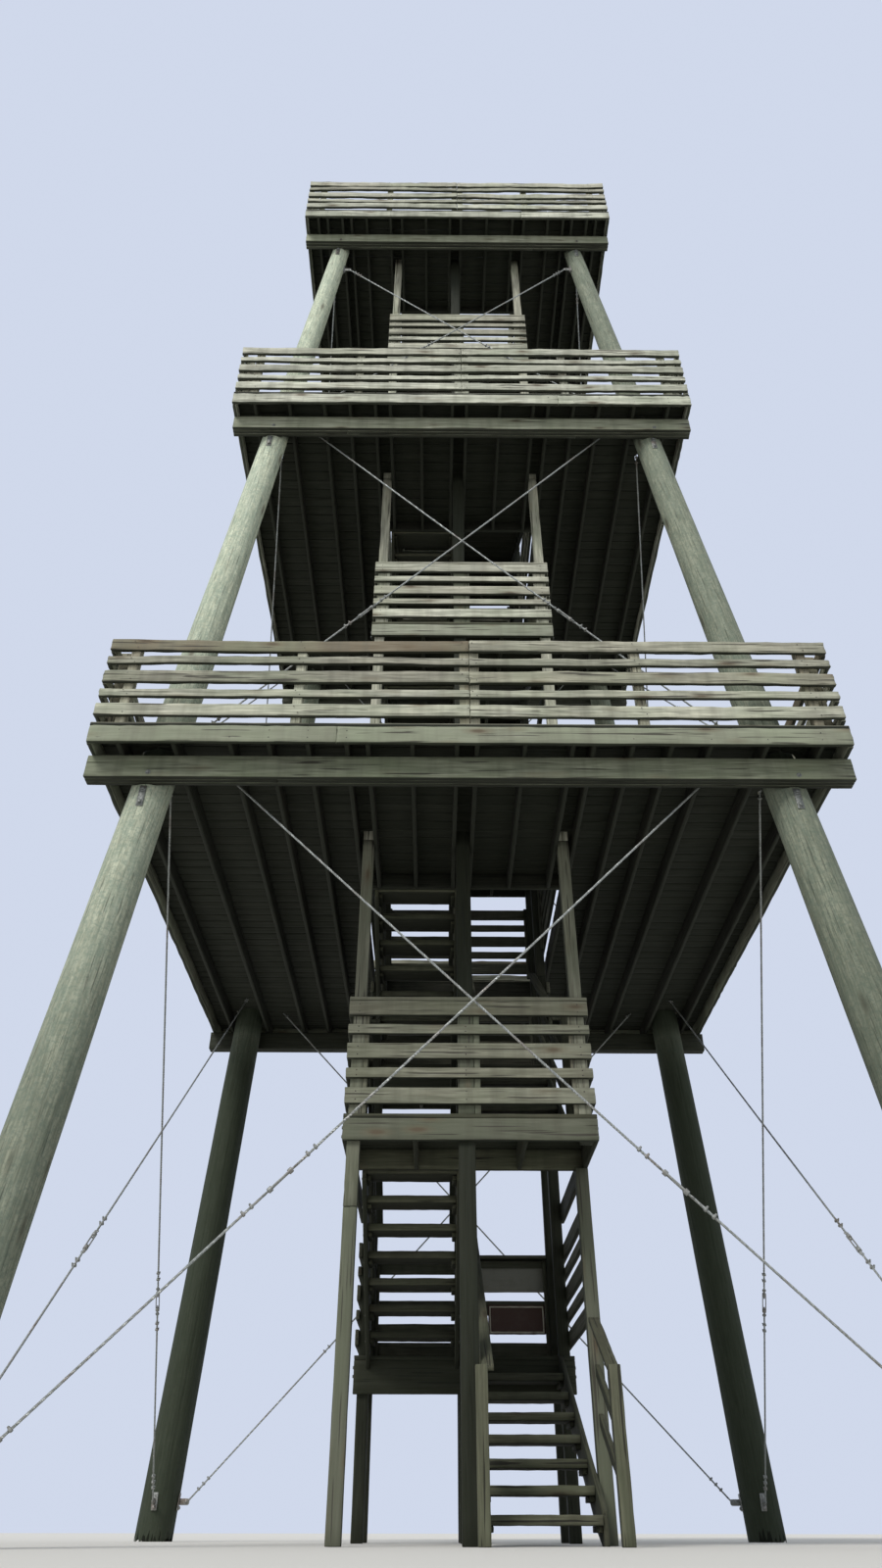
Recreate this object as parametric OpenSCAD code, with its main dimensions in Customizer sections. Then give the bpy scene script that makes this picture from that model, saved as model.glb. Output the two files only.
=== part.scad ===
// Timber lookout tower: four leaning round poles carry three open decks, one above
// the other, with a stair tower in the middle and crossed steel cables on each side.
// Units are millimetres, the ground is z = 0 and the front faces -Y.

/* [Storeys] */
// Number of risers in one flight
risers = 8; // [7:1:9]
// Rise of one step
riser = 184; // [170:1:190]
// Level going of one step
going = 257; // [240:1:265]
// Level going of a step in the first flight, which starts further forward
first_going = 330; // [310:1:345]

/* [Poles] */
// Half distance between pole axes at the ground
pole_spread = 3317; // [3200:1:3500]
// How far a pole leans in over one metre of height
pole_lean = 79; // [70:1:84]
// Pole diameter at the ground
pole_foot_d = 410; // [360:1:440]
// Pole diameter at its top
pole_top_d = 270; // [240:1:300]
// Depth that a main beam is let into its poles
dap = 15; // [5:1:30]

/* [Decks] */
// How far the first deck reaches past the pole axes
reach_1 = 516; // [470:1:600]
// How far the main beams run past the first deck on each side
beam_past = 29; // [10:1:60]
// How far the second deck reaches past the pole axes
reach_2 = 500; // [480:1:640]
// How far the third deck reaches past the pole axes
reach_3 = 560; // [480:1:640]
// Thickness of boards, joists and stringers
board_t = 38; // [32:1:45]
// Depth of the deck joists and of the rim board
joist_h = 184; // [160:1:235]
// Distance from a pole or a cable to the joist beside it
joist_off = 60; // [50:1:100]
// Widest spacing between joists
joist_step = 400; // [300:1:600]
// Thickness of a main beam
beam_t = 140; // [90:1:180]
// Depth of a main beam
beam_h = 235; // [184:1:286]

/* [Railings] */
// Height of the railing above the rim board
rail_h = 1067; // [1000:1:1200]
// Height of the wide railing boards
wide_board = 140; // [120:1:145]
// Height of the narrow railing boards
narrow_board = 89; // [70:1:100]
// Gap between the lowest railing board and the rim board
low_gap = 125; // [90:1:140]
// Side of a railing post
rail_post = 89; // [70:1:100]
// Distance from a deck corner to the first railing post
post_inset = 240; // [180:1:320]
// Width of the flat cap on a landing railing
cap_w = 140; // [120:1:160]

/* [Stair tower] */
// Side of the stair posts
stair_post = 110; // [90:1:130]
// Distance from a flight's outer side to the axis of the outer stair posts
flight_gap = 28; // [20:1:60]
// Side of the middle post at the front
middle_post = 140; // [110:1:150]
// How far the middle post at the front stands left of the centre
middle_left = 30; // [20:1:40]
// Half distance between the outer stair posts
stair_half = 985; // [950:1:1050]
// Edge of the back landings and of the stair opening, behind the centre
back_edge = 950; // [900:1:1000]
// Depth of a landing
landing_d = 900; // [850:1:1000]
// Depth of the board under the edge of a back landing
header_h = 286; // [235:1:320]
// Thickness of a tread
tread_t = 64; // [38:1:70]
// How far a tread stands over the riser line
nosing = 20; // [10:1:30]
// Upright depth of a stringer
stringer_h = 330; // [300:1:350]
// Height of a stringer's upper edge above the nosings
stringer_over = 25; // [15:1:35]
// Height of a sloped handrail above the nosings
hand_h = 1100; // [1000:1:1150]
// Distance from a sloped board to the next one above it
hand_step = 340; // [300:1:360]
// How far the newel posts stand in front of the landings
newel_out = 50; // [10:1:100]
// Side of the upright cleats that join railing boards
cleat = 38; // [30:1:45]

/* [Bracing] */
// Diameter of a bracing cable
cable_d = 20; // [12:1:22]
// Diameter of a turnbuckle
buckle_d = 44; // [36:1:50]
// Length of a turnbuckle
buckle_l = 300; // [250:1:360]
// Length of the ear that a cable is pinned to
ear_l = 110; // [90:1:140]
// Height of an ear
ear_h = 60; // [50:1:80]
// Width of the plate that holds an ear on its pole
ear_plate_w = 60; // [50:1:80]
// Height of the plate that holds an ear on its pole
ear_plate_h = 160; // [120:1:200]
// Distance from a cable's lower end to its turnbuckle
buckle_at = 2200; // [1900:1:2300]
// Height of the lowest cable ends above the ground
foot_end = 350; // [300:1:500]
// Height of an upper cable end above its deck
top_end = 150; // [120:1:180]
// Height of a lower cable end above its deck
low_end = 330; // [310:1:420]
// Drop of the highest cable ends below the third deck
last_end = 940; // [900:1:1100]

/* [Boards and straps] */
// Width of the upper notice board
notice_w = 745; // [700:1:790]
// Width of the lower notice board
lower_w = 610; // [500:1:680]
// Height of the upper notice board
notice_h = 237; // [200:1:270]
// Height of the lower notice board
lower_h = 284; // [240:1:320]
// Drop from the railing's top to the lower notice board
lower_drop = 442; // [400:1:480]
// Drop from the railing's top to the upper notice board
upper_drop = 81; // [60:1:100]
// Thickness of a notice board
notice_t = 12; // [6:1:20]
// Width of a strap on a pole
strap_w = 60; // [50:1:80]
// Length of a strap on a pole
strap_l = 230; // [180:1:260]
// Drop from a main beam to the strap under it
strap_drop = 20; // [10:1:40]
// Thickness of plates and straps
plate_t = 8; // [6:1:10]

/* [Hidden] */
$fn = 48;

// Weathered boards, greenish beams and poles, shaded timber, galvanised steel
board_colour = [0.56, 0.53, 0.47];
beam_colour = [0.44, 0.46, 0.38];
pole_colour = [0.60, 0.62, 0.52];
shade_colour = [0.30, 0.29, 0.24];
steel_colour = [0.66, 0.68, 0.70];

storeys = 3;
// Face gap between pieces that rest on each other side by side
fit = 0.3;
// Gap round a post, pole or cable that passes through a floor
hole_gap = 12;
// Gap between two floor slabs, as between two floor boards
slab_gap = 4;

storey_h = 4 * risers * riser;
function deck_z(k) = k * storey_h;
function landing_z(k, n) = deck_z(k - 1) + n * risers * riser;

// Poles: axis offset and radius at a height
pole_top_z = deck_z(storeys) - board_t - joist_h;
function axis_at(z) = pole_spread - pole_lean * z / 1000;
function radius_at(z) = (pole_foot_d + (pole_top_d - pole_foot_d) * z / pole_top_z) / 2;
lean_angle = atan(pole_lean / 1000);

// Decks
reaches = [reach_1, reach_2, reach_3];
function joist_z(k) = deck_z(k) - board_t - joist_h;
function half(k) = axis_at(joist_z(k)) + reaches[k - 1];
function beam_z(k) = joist_z(k) - beam_h;
function beam_half(k) = half(k) + (k == 1 ? beam_past : 0);
function beam_in(k) = axis_at(joist_z(k) - beam_h / 2) + radius_at(joist_z(k) - beam_h / 2) - dap;

// Stair tower outline: boards lie on the outer faces of the posts
stair_out = stair_half + stair_post / 2 + board_t;
front_edge = (risers - 1) * going - back_edge;
stair_front = front_edge + landing_d;
stair_back = back_edge + landing_d;
// Rows of posts, measured along Y
front_row = -(stair_front - board_t - fit - stair_post / 2);
middle_row = -(stair_front - board_t - fit - middle_post / 2);
edge_row = -(front_edge + fit + stair_post / 2);
inner_row = back_edge + board_t + fit + stair_post / 2;
back_row = stair_back - board_t - fit - stair_post / 2;
inner_face = stair_half - stair_post / 2;
flight_x = stair_post / 2 + slab_gap;
flight_w = stair_half - flight_x - flight_gap;
// The post that stands back from the front right corner, under the first front landing
setback_x = stair_out - stair_post / 2;
// The newels end level with the cap that starts behind them
newel_y = -(stair_front + newel_out);
newel_h = riser + hand_h + (newel_y + rail_post / 2 + fit - flight_foot(1, 1) + nosing) * riser / first_going;

// Railing boards from the top down: heights and gaps between them
board_heights = [wide_board, narrow_board, wide_board, narrow_board, wide_board];
board_gap = (rail_h - low_gap - 3 * wide_board - 2 * narrow_board) / 4;
function board_top(i) = i == 0 ? 0 : board_top(i - 1) + board_heights[i - 1] + board_gap;

// Bracing ends
function low_z(k) = k == 1 ? foot_end : deck_z(k - 1) + low_end;
function high_z(k) = k == storeys ? deck_z(k) - last_end : deck_z(k) + top_end;
function ear_x(z) = axis_at(z) - radius_at(z) - ear_l;
// How far a cable's end goes into its ear
end_in = cable_d * 3 / 4;
// Half distance between the two crossing cables of a side, which pass clear of each other
cross_gap = (cable_d + buckle_d) / 4;

module box(low, high) {
    translate(low) cube(high - low);
}

module pole(sx, sy, grow = 0) {
    foot = [sx * pole_spread, sy * pole_spread, 0];
    // The axis runs from the foot to the top; the ends are cut level
    slope = pole_lean * sqrt(2) / 1000;
    run = pole_spread / 5;
    reach = pole_spread / 2;
    length = (pole_top_z + 2 * run) * sqrt(1 + slope * slope);
    intersection() {
        translate([foot.x + sx * pole_lean * run / 1000, foot.y + sy * pole_lean * run / 1000, -run])
            rotate([0, atan(slope), atan2(-sy, -sx)])
                cylinder(h = length, r1 = radius_at(-run) + grow, r2 = radius_at(pole_top_z + run) + grow);
        box([foot.x - reach, foot.y - reach, grow > 0 ? -run : 0],
            [foot.x + reach, foot.y + reach, pole_top_z + (grow > 0 ? run : 0)]);
    }
}

module dapped_pole(sx, sy) {
    color(pole_colour) difference() {
        pole(sx, sy);
        for (k = [1:storeys])
            beam(k, sy);
    }
}

module beam(k, sy) {
    inner = beam_in(k);
    low_y = sy > 0 ? inner : -inner - beam_t;
    box([-beam_half(k), low_y, beam_z(k)], [beam_half(k), low_y + beam_t, joist_z(k)]);
}

module main_beams(k) {
    color(beam_colour) for (sy = [-1, 1]) beam(k, sy);
}

// Joist places from the stair opening outwards, on one side
function cable_x(k) = ear_x(high_z(k)) - (high_z(k) - joist_z(k))
    * (ear_x(high_z(k)) + ear_x(low_z(k))) / (high_z(k) - low_z(k));
trimmer_x = stair_out + fit + board_t / 2;
function last_plain_x(k) = cable_x(k) - joist_off;
function outer_joists(k) =
    let (bays = ceil((last_plain_x(k) - trimmer_x) / joist_step),
         keep_off = radius_at(joist_z(k)) + joist_off)
    concat([for (i = [0:bays]) trimmer_x + (last_plain_x(k) - trimmer_x) * i / bays],
           [axis_at(joist_z(k)) - keep_off, axis_at(joist_z(k)) + keep_off]);
// Joists cut short at the opening: beside the middle post, then evenly to the side posts
function inner_joists() = [for (sx = [-1, 1])
    let (first = -middle_left + sx * (middle_post / 2 + fit + board_t / 2),
         last = sx * (inner_face - fit - board_t / 2))
    for (i = [0:2]) first + (last - first) * i / 2];

module joist(k, x, y0, y1) {
    box([x - board_t / 2, y0, joist_z(k)], [x + board_t / 2, y1, deck_z(k) - board_t]);
}

module joists(k) {
    inside = half(k) - board_t - fit;
    color(shade_colour) {
        for (x = outer_joists(k), sx = [-1, 1])
            joist(k, sx * x, -inside, inside);
        // Headers at the stair opening hold the joists that it cuts short
        box([-stair_out, -front_edge - board_t, joist_z(k)], [stair_out, -front_edge, deck_z(k) - board_t]);
        box([-stair_out, stair_back + fit, joist_z(k)],
            [stair_out, stair_back + fit + board_t, deck_z(k) - board_t]);
        for (x = inner_joists()) {
            joist(k, x, -inside, -front_edge - board_t - fit);
            joist(k, x, stair_back + board_t + 2 * fit, inside);
        }
    }
}

module post_at(x, y, side, z0, z1) {
    box([x - side / 2, y - side / 2, z0], [x + side / 2, y + side / 2, z1]);
}

// The posts as cutters, larger by a gap on each side
module post_holes(z0, z1) {
    gap = slab_gap / 2;
    for (x = [-stair_half, stair_half], y = [front_row, inner_row, back_row])
        post_at(x, y, stair_post + 2 * gap, z0, z1);
    for (y = [inner_row, back_row])
        post_at(0, y, stair_post + 2 * gap, z0, z1);
    post_at(-middle_left, middle_row, middle_post + 2 * gap, z0, z1);
}

module floor_slabs(k) {
    low = deck_z(k) - board_t;
    high = deck_z(k);
    reach = half(k);
    well_x = stair_out + fit;
    color(board_colour) difference() {
        union() {
            box([-reach, -reach, low], [reach, -front_edge, high]);
            box([-reach, stair_back + fit, low], [reach, reach, high]);
            for (sx = [-1, 1])
                box([sx > 0 ? well_x : -reach, -front_edge + slab_gap, low],
                    [sx > 0 ? reach : -well_x, stair_back + fit - slab_gap, high]);
        }
        // Poles, cables and front posts all end below the highest floor
        if (k < storeys) {
            for (sx = [-1, 1], sy = [-1, 1]) pole(sx, sy, hole_gap);
            side_cables(k, cable_d / 2 + hole_gap);
            post_holes(low - 1, high + 1);
        }
    }
}

// One railing panel in the XZ plane, outer face on y = 0, seen from -Y
module panel(length, posts, side) {
    for (i = [0:4]) {
        top = rail_h - board_top(i);
        box([-length / 2, 0, top - board_heights[i]], [length / 2, board_t, top]);
    }
    for (x = posts)
        box([x - side / 2, board_t, board_t], [x + side / 2, board_t + side, rail_h]);
}

module deck_rail(k, turn) {
    side = turn % 180 != 0;
    length = 2 * half(k) - (side ? 2 * board_t + 2 * fit : 0);
    end_x = half(k) - post_inset;
    mid_gap = (rail_post + slab_gap) / 2;
    color(board_colour) rotate([0, 0, turn]) translate([0, -half(k), deck_z(k) - board_t]) {
        panel(length, [-end_x, -end_x / 2, -mid_gap, mid_gap, end_x / 2, end_x], rail_post);
        box([-length / 2, 0, -joist_h], [length / 2, board_t, -fit]);
    }
}

module stair_posts() {
    top = deck_z(storeys) - board_t + rail_h;
    front_top = deck_z(storeys) - board_t;
    frame_low = landing_z(1, 2) - board_t - joist_h - fit;
    color(board_colour) {
        for (y = [inner_row, back_row], x = [-stair_half, 0, stair_half])
            post_at(x, y, stair_post, 0, top);
        post_at(-stair_half, front_row, stair_post, 0, front_top);
        // The right front post starts at the landing; a set-back post holds its beam
        post_at(stair_half, front_row, stair_post, frame_low, front_top);
        post_at(setback_x, edge_row, stair_post, 0, frame_low);
    }
    color(shade_colour) post_at(-middle_left, middle_row, middle_post, 0, front_top);
}

// Foot of each flight along Y, its level and its going
function flight_foot(k, n) = n % 2 == 0 ? back_edge
    : k == 1 && n == 1 ? back_edge - (risers - 1) * first_going : -front_edge;
function flight_z(k, n) = deck_z(k - 1) + (n - 1) * risers * riser;
function flight_going(k, n) = k == 1 && n == 1 ? first_going : going;

// One flight rising along +Y: two stringers with the treads between them
module flight(k, n) {
    g = flight_going(k, n);
    run = (risers - 1) * g;
    rise = risers * riser;
    slope = riser / g;
    low = k == 1 && n == 1 ? 0 : riser + stringer_over - stringer_h;
    low_run = (stringer_h - stringer_over - riser + low) / slope;
    outline = [[0, low], [0, riser + stringer_over], [run - stringer_over / slope, rise],
               [run - fit, rise], [run - fit, rise + stringer_over - stringer_h],
               if (low_run > 0) [low_run, low]];
    right = n % 2 == 1;
    tread_w = flight_w - 2 * board_t - 2 * fit;
    color(board_colour)
        translate([right ? flight_x : -flight_x - flight_w, flight_foot(k, n), flight_z(k, n)])
            mirror([0, right ? 0 : 1, 0]) {
                for (x = [0, flight_w - board_t])
                    translate([x, 0, 0]) rotate([90, 0, 90]) linear_extrude(board_t) polygon(outline);
                for (i = [1:risers - 1])
                    box([board_t + fit, (i - 1) * g - nosing, i * riser - tread_t],
                        [board_t + fit + tread_w, i * g - slab_gap, i * riser]);
            }
}

// Landing platforms between the stair posts, 1 and 3 at the back, 2 at the front:
// a floor on rim boards, two joists and two side beams
module landing(k, n) {
    front = n == 2;
    y0 = front ? -stair_front : back_edge;
    y1 = front ? -front_edge : stair_back;
    z = landing_z(k, n);
    top = z - board_t - fit;
    low = top - joist_h;
    side_x = stair_out - board_t;
    color(board_colour) difference() {
        box([-stair_out, y0, z - board_t], [stair_out, y1, z]);
        post_holes(z - board_t - 1, z + 1);
    }
    color(shade_colour) {
        box([-stair_out, y0, front ? low : top - header_h], [stair_out, y0 + board_t, top]);
        box([fit - side_x, y1 - board_t, low], [side_x, y1, top]);
        for (sx = [-1, 1]) {
            joist_x = sx * inner_face / 2;
            box([joist_x - board_t / 2, y0 + board_t + fit, low],
                [joist_x + board_t / 2, y1 - board_t - fit, top]);
            // The side beams of a front landing run on to the back posts
            x0 = sx > 0 ? side_x + fit : -stair_out;
            box([x0, y0 + board_t + fit, low],
                [x0 + board_t - fit, front ? inner_row + stair_post / 2 : y1, top]);
        }
    }
}

module landings(k) {
    for (n = [1:3]) landing(k, n);
}

// Level railing boards along Y on one side, joined by an upright cleat
module side_boards(sx, y0, y1, z, cleat_y) {
    x0 = sx > 0 ? stair_out - board_t + fit : -stair_out;
    translate([0, 0, z - board_t - fit]) {
        for (i = [0:4]) {
            top = rail_h - board_top(i);
            box([x0, y0, top - board_heights[i]], [x0 + board_t - fit, y1, top]);
        }
        box([sx > 0 ? x0 - cleat : x0 + board_t - fit, cleat_y, board_t],
            [sx > 0 ? x0 : x0 + board_t - fit + cleat, cleat_y + cleat, rail_h]);
    }
}

// Boards and flat cap on the long side of a landing, or of the stair opening
module end_boards(front, z, cap) {
    outer = front ? stair_front : stair_back;
    cleat_x = inner_face - fit - cleat / 2;
    difference() {
        translate([0, front ? -outer : outer, z - board_t]) rotate([0, 0, front ? 0 : 180]) {
            panel(2 * stair_out, [-cleat_x, cleat_x], cleat);
            if (cap)
                box([-stair_out, 0, rail_h], [stair_out, cap_w, rail_h + board_t]);
        }
        post_holes(z - 1, z + 2 * rail_h);
    }
}

module landing_rails(k) {
    end = stair_back - board_t - fit;
    color(board_colour) {
        for (n = [1, 3]) {
            z = landing_z(k, n);
            end_boards(false, z, true);
            for (sx = [-1, 1]) {
                to_setback = k == 1 && n == 1 && sx > 0;
                start = to_setback ? edge_row + stair_post / 2 + fit : back_edge;
                side_boards(sx, start, end, z, inner_row + stair_post / 2 + fit);
            }
        }
        end_boards(true, landing_z(k, 2), true);
        for (sx = [-1, 1]) {
            side_boards(sx, -stair_front + board_t + fit, -front_edge, landing_z(k, 2),
                        front_row + stair_post / 2 + fit);
            // Guard round the stair opening of the deck
            side_boards(sx, edge_row - stair_post / 2, end, deck_z(k),
                        inner_row - stair_post / 2 - fit - cleat);
        }
        end_boards(false, deck_z(k), false);
        // No flight goes on from the highest deck, so its right half is closed
        if (k == storeys) {
            mid_x = (inner_face - stair_post / 2 - cleat) / 2 - fit;
            translate([stair_half / 2, edge_row - stair_post / 2 - fit - board_t, deck_z(k) - board_t])
                panel(stair_half + stair_post, [-mid_x, mid_x], cleat);
        }
    }
}

// Sloped boards between y0 and y1; z0 is the nosing line's height at y0
module sloped_board(x0, x1, y0, y1, z0, slope, low, high) {
    z1 = z0 + (y1 - y0) * slope;
    translate([x0, 0, 0]) rotate([90, 0, 90]) linear_extrude(x1 - x0)
        polygon([[y0, z0 + low], [y1, z1 + low], [y1, z1 + high], [y0, z0 + high]]);
}

// A cap and two boards under it, with their post side at x and their free side towards sx
module hand_boards(x, sx, y0, y1, z0, slope, cap_x0) {
    sloped_board(cap_x0, cap_x0 + rail_post, y0, y1, z0, slope, hand_h - board_t, hand_h);
    x0 = sx > 0 ? x : x - board_t;
    for (i = [1, 2])
        sloped_board(x0, x0 + board_t, y0, y1, z0, slope,
                     hand_h - i * hand_step - narrow_board, hand_h - i * hand_step);
}

// Handrails on both sides of a flight, fixed to the faces of the posts that they pass
module flight_rails(k, n) {
    sx = n % 2 == 1 ? 1 : -1;
    slope = sx * riser / flight_going(k, n);
    first = k == 1 && n == 1;
    nose_y = flight_foot(k, n) - sx * nosing;
    nose_z = flight_z(k, n) + riser;
    y0 = first ? newel_y + rail_post / 2 + fit : edge_row - stair_post / 2;
    y1 = inner_row + stair_post / 2;
    in_x = stair_post / 2 + fit;
    out_x = inner_face - fit;
    z0 = nose_z + (y0 - nose_y) * slope;
    hand_boards(sx * in_x, sx, y0, y1, z0, slope, sx > 0 ? in_x : -in_x - rail_post);
    if (first)
        hand_boards(setback_x - board_t / 2, 1, y0, edge_row - stair_post / 2 - fit, z0, slope,
                    setback_x - rail_post / 2);
    else
        hand_boards(sx * out_x, -sx, y0, y1, z0, slope, sx > 0 ? out_x - rail_post : -out_x);
}

module handrails(k) {
    post_h = riser + hand_h;
    top_post_h = riser / 2 + hand_h;
    color(board_colour) {
        for (n = [1:4]) flight_rails(k, n);
        for (x = [-stair_half, 0, stair_half]) {
            post_at(x, edge_row, stair_post, landing_z(k, 2), landing_z(k, 2) + post_h);
            post_at(x, edge_row, stair_post, deck_z(k), deck_z(k) + (k < storeys ? post_h : top_post_h));
        }
        if (k == 1)
            for (x = [stair_post / 2 + fit + board_t - rail_post / 2, setback_x])
                post_at(x, newel_y, rail_post, 0, newel_h);
    }
}

module rod(a, b, r) {
    d = b - a;
    translate(a) rotate([0, acos(d.z / norm(d)), atan2(d.y, d.x)]) cylinder(h = norm(d), r = r);
}

// Plate on the inner side of the left or right pole of the front side, with its ear
module ear(z, sx, y) {
    face = axis_at(z) - radius_at(z) - fit;
    translate([sx * face, y, z]) rotate([0, -sx * lean_angle, 0])
        box([sx > 0 ? -plate_t : 0, -ear_plate_w / 2, -ear_plate_h / 2],
            [sx > 0 ? 0 : plate_t, ear_plate_w / 2, ear_plate_h / 2]);
    ear_box(z, sx, y, face - plate_t / 2, 0);
}

// An ear from its free end to a root, larger by a gap where a cable's forked end is cut for it
module ear_box(z, sx, y, root, gap) {
    tip = ear_x(z) - gap;
    box([sx > 0 ? tip : -root, y - plate_t / 2 - gap, z - ear_h / 2 - gap],
        [sx > 0 ? root : -tip, y + plate_t / 2 + gap, z + ear_h / 2 + gap]);
}

// Ends of a cable of the front side: the lower on side sx, the upper on the other side
function end_point(z, side, off) = [side * (ear_x(z) + end_in), off - axis_at(z), z];
function low_end_point(k, sx) = end_point(low_z(k), sx, sx * cross_gap);
function high_end_point(k, sx) = end_point(high_z(k), -sx, sx * cross_gap);

module cable_line(k, sx, r) {
    rod(low_end_point(k, sx), high_end_point(k, sx), r);
}

module cable(k, sx) {
    low = low_end_point(k, sx);
    high = high_end_point(k, sx);
    along = (high - low) / norm(high - low);
    difference() {
        cable_line(k, sx, cable_d / 2);
        ear_box(low_z(k), sx, low.y, axis_at(low_z(k)), fit);
        ear_box(high_z(k), -sx, high.y, axis_at(high_z(k)), fit);
    }
    rod(low + along * buckle_at, low + along * (buckle_at + buckle_l), buckle_d / 2);
    ear(low_z(k), sx, low.y);
    ear(high_z(k), -sx, high.y);
}

module side_cables(k, r) {
    for (turn = [0, 90, 180, 270], sx = [-1, 1])
        rotate([0, 0, turn]) cable_line(k, sx, r);
}

module bracing(k) {
    color(steel_colour) for (turn = [0, 90, 180, 270], sx = [-1, 1])
        rotate([0, 0, turn]) cable(k, sx);
}

// Straps under the main beams on the outer side of each pole
module pole_straps() {
    color(steel_colour) for (k = [1:storeys], sx = [-1, 1], turn = [0, 180]) {
        z = beam_z(k) - strap_l / 2 - strap_drop;
        rotate([0, 0, turn])
            translate([sx * axis_at(z), -axis_at(z) - radius_at(z) - fit, z])
                rotate([-lean_angle, 0, 0])
                    box([-strap_w / 2, -plate_t, -strap_l / 2], [strap_w / 2, 0, strap_l / 2]);
    }
}

// A bare board on the inner side of the first landing's railing
module notice_board(width, height, drop) {
    right = inner_face - cleat - 2 * fit;
    rail_y = stair_back - board_t - fit;
    top = landing_z(1, 1) - board_t + rail_h - drop;
    box([right - width, rail_y - notice_t, top - height], [right, rail_y, top]);
}

module notice_boards() {
    color([0.50, 0.51, 0.47]) notice_board(notice_w, notice_h, upper_drop);
    color([0.30, 0.20, 0.17]) notice_board(lower_w, lower_h, lower_drop);
}

dapped_pole(-1, -1);  // pole_front_left
dapped_pole(1, -1);  // pole_front_right
dapped_pole(-1, 1);  // pole_back_left
dapped_pole(1, 1);  // pole_back_right
main_beams(1);  // main_beams_1
main_beams(2);  // main_beams_2
main_beams(3);  // main_beams_3
joists(1);  // joists_1
joists(2);  // joists_2
joists(3);  // joists_3
floor_slabs(1);  // floor_1
floor_slabs(2);  // floor_2
floor_slabs(3);  // floor_3
deck_rail(1, 0);  // rail_front_1
deck_rail(1, 180);  // rail_back_1
deck_rail(1, -90);  // rail_left_1
deck_rail(1, 90);  // rail_right_1
deck_rail(2, 0);  // rail_front_2
deck_rail(2, 180);  // rail_back_2
deck_rail(2, -90);  // rail_left_2
deck_rail(2, 90);  // rail_right_2
deck_rail(3, 0);  // rail_front_3
deck_rail(3, 180);  // rail_back_3
deck_rail(3, -90);  // rail_left_3
deck_rail(3, 90);  // rail_right_3
stair_posts();
flight(1, 1);  // flight_1_1
flight(1, 2);  // flight_1_2
flight(1, 3);  // flight_1_3
flight(1, 4);  // flight_1_4
flight(2, 1);  // flight_2_1
flight(2, 2);  // flight_2_2
flight(2, 3);  // flight_2_3
flight(2, 4);  // flight_2_4
flight(3, 1);  // flight_3_1
flight(3, 2);  // flight_3_2
flight(3, 3);  // flight_3_3
flight(3, 4);  // flight_3_4
landings(1);  // landings_1
landings(2);  // landings_2
landings(3);  // landings_3
landing_rails(1);  // landing_rails_1
landing_rails(2);  // landing_rails_2
landing_rails(3);  // landing_rails_3
handrails(1);  // handrails_1
handrails(2);  // handrails_2
handrails(3);  // handrails_3
bracing(1);  // bracing_1
bracing(2);  // bracing_2
bracing(3);  // bracing_3
pole_straps();
notice_boards();
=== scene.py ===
import math
import random

import bmesh
import bpy
import numpy as np
from mathutils import Matrix, Vector


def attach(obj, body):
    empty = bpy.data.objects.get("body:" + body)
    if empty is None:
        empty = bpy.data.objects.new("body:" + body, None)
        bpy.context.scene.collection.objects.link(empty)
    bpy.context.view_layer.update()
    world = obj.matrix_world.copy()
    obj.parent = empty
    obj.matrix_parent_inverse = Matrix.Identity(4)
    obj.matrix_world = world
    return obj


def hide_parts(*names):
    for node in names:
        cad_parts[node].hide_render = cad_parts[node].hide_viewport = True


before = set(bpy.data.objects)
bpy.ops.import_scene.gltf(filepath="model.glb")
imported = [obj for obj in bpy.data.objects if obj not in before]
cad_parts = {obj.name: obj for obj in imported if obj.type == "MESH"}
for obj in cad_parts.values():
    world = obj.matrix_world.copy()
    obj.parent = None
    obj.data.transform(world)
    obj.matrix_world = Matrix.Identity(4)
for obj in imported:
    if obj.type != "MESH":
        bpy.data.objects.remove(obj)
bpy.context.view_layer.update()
dice = random.Random(41)
print("frame loaded")

# Sizes of the whole tower, in metres, as in the part's source
tower = {
    "storey": 5.888, "flightRise": 1.472, "risers": 8, "riser": 0.184, "going": 0.257, "firstGoing": 0.330,
    "poleSpread": 3.317, "poleLean": 0.079, "poleFoot": 0.410, "poleTop": 0.270, "reach": (0.516, 0.500, 0.560),
    "board": 0.038, "joistDepth": 0.184, "beamThick": 0.140, "beamDepth": 0.235, "beamPast": 0.029, "dap": 0.015,
    "fit": 0.0003,
}
boardT, joistH, fit, riser = (tower[name] for name in ("board", "joistDepth", "fit", "riser"))


def deckZ(k):
    return k * tower["storey"]


def landingZ(k, n):
    return deckZ(k - 1) + n * tower["flightRise"]


def joistZ(k):
    return deckZ(k) - boardT - joistH


def beamZ(k):
    return joistZ(k) - tower["beamDepth"]


def axisAt(z):  # how far a pole's axis stands from the tower's
    return tower["poleSpread"] - tower["poleLean"] * z


def radiusAt(z):
    return (tower["poleFoot"] + (tower["poleTop"] - tower["poleFoot"]) * z / joistZ(3)) / 2


def half(k):
    return axisAt(joistZ(k)) + tower["reach"][k - 1]


# Modelling helpers: everything is deselected before a primitive is added
def startPiece(kind, **place):
    bpy.ops.object.select_all(action="DESELECT")
    getattr(bpy.ops.mesh, f"primitive_{kind}_add")(**place)
    return bpy.context.object


def editMode(on):
    bpy.ops.object.mode_set(mode="EDIT" if on else "OBJECT")


def pick(kind, test):
    mesh = bmesh.from_edit_mesh(bpy.context.object.data)
    bpy.ops.mesh.select_all(action="DESELECT")
    bpy.ops.mesh.select_mode(type=kind)
    for item in mesh.edges if kind == "EDGE" else mesh.verts:
        if test(item):
            item.select_set(True)
    mesh.select_flush_mode()
    bmesh.update_edit_mesh(bpy.context.object.data)


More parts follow.
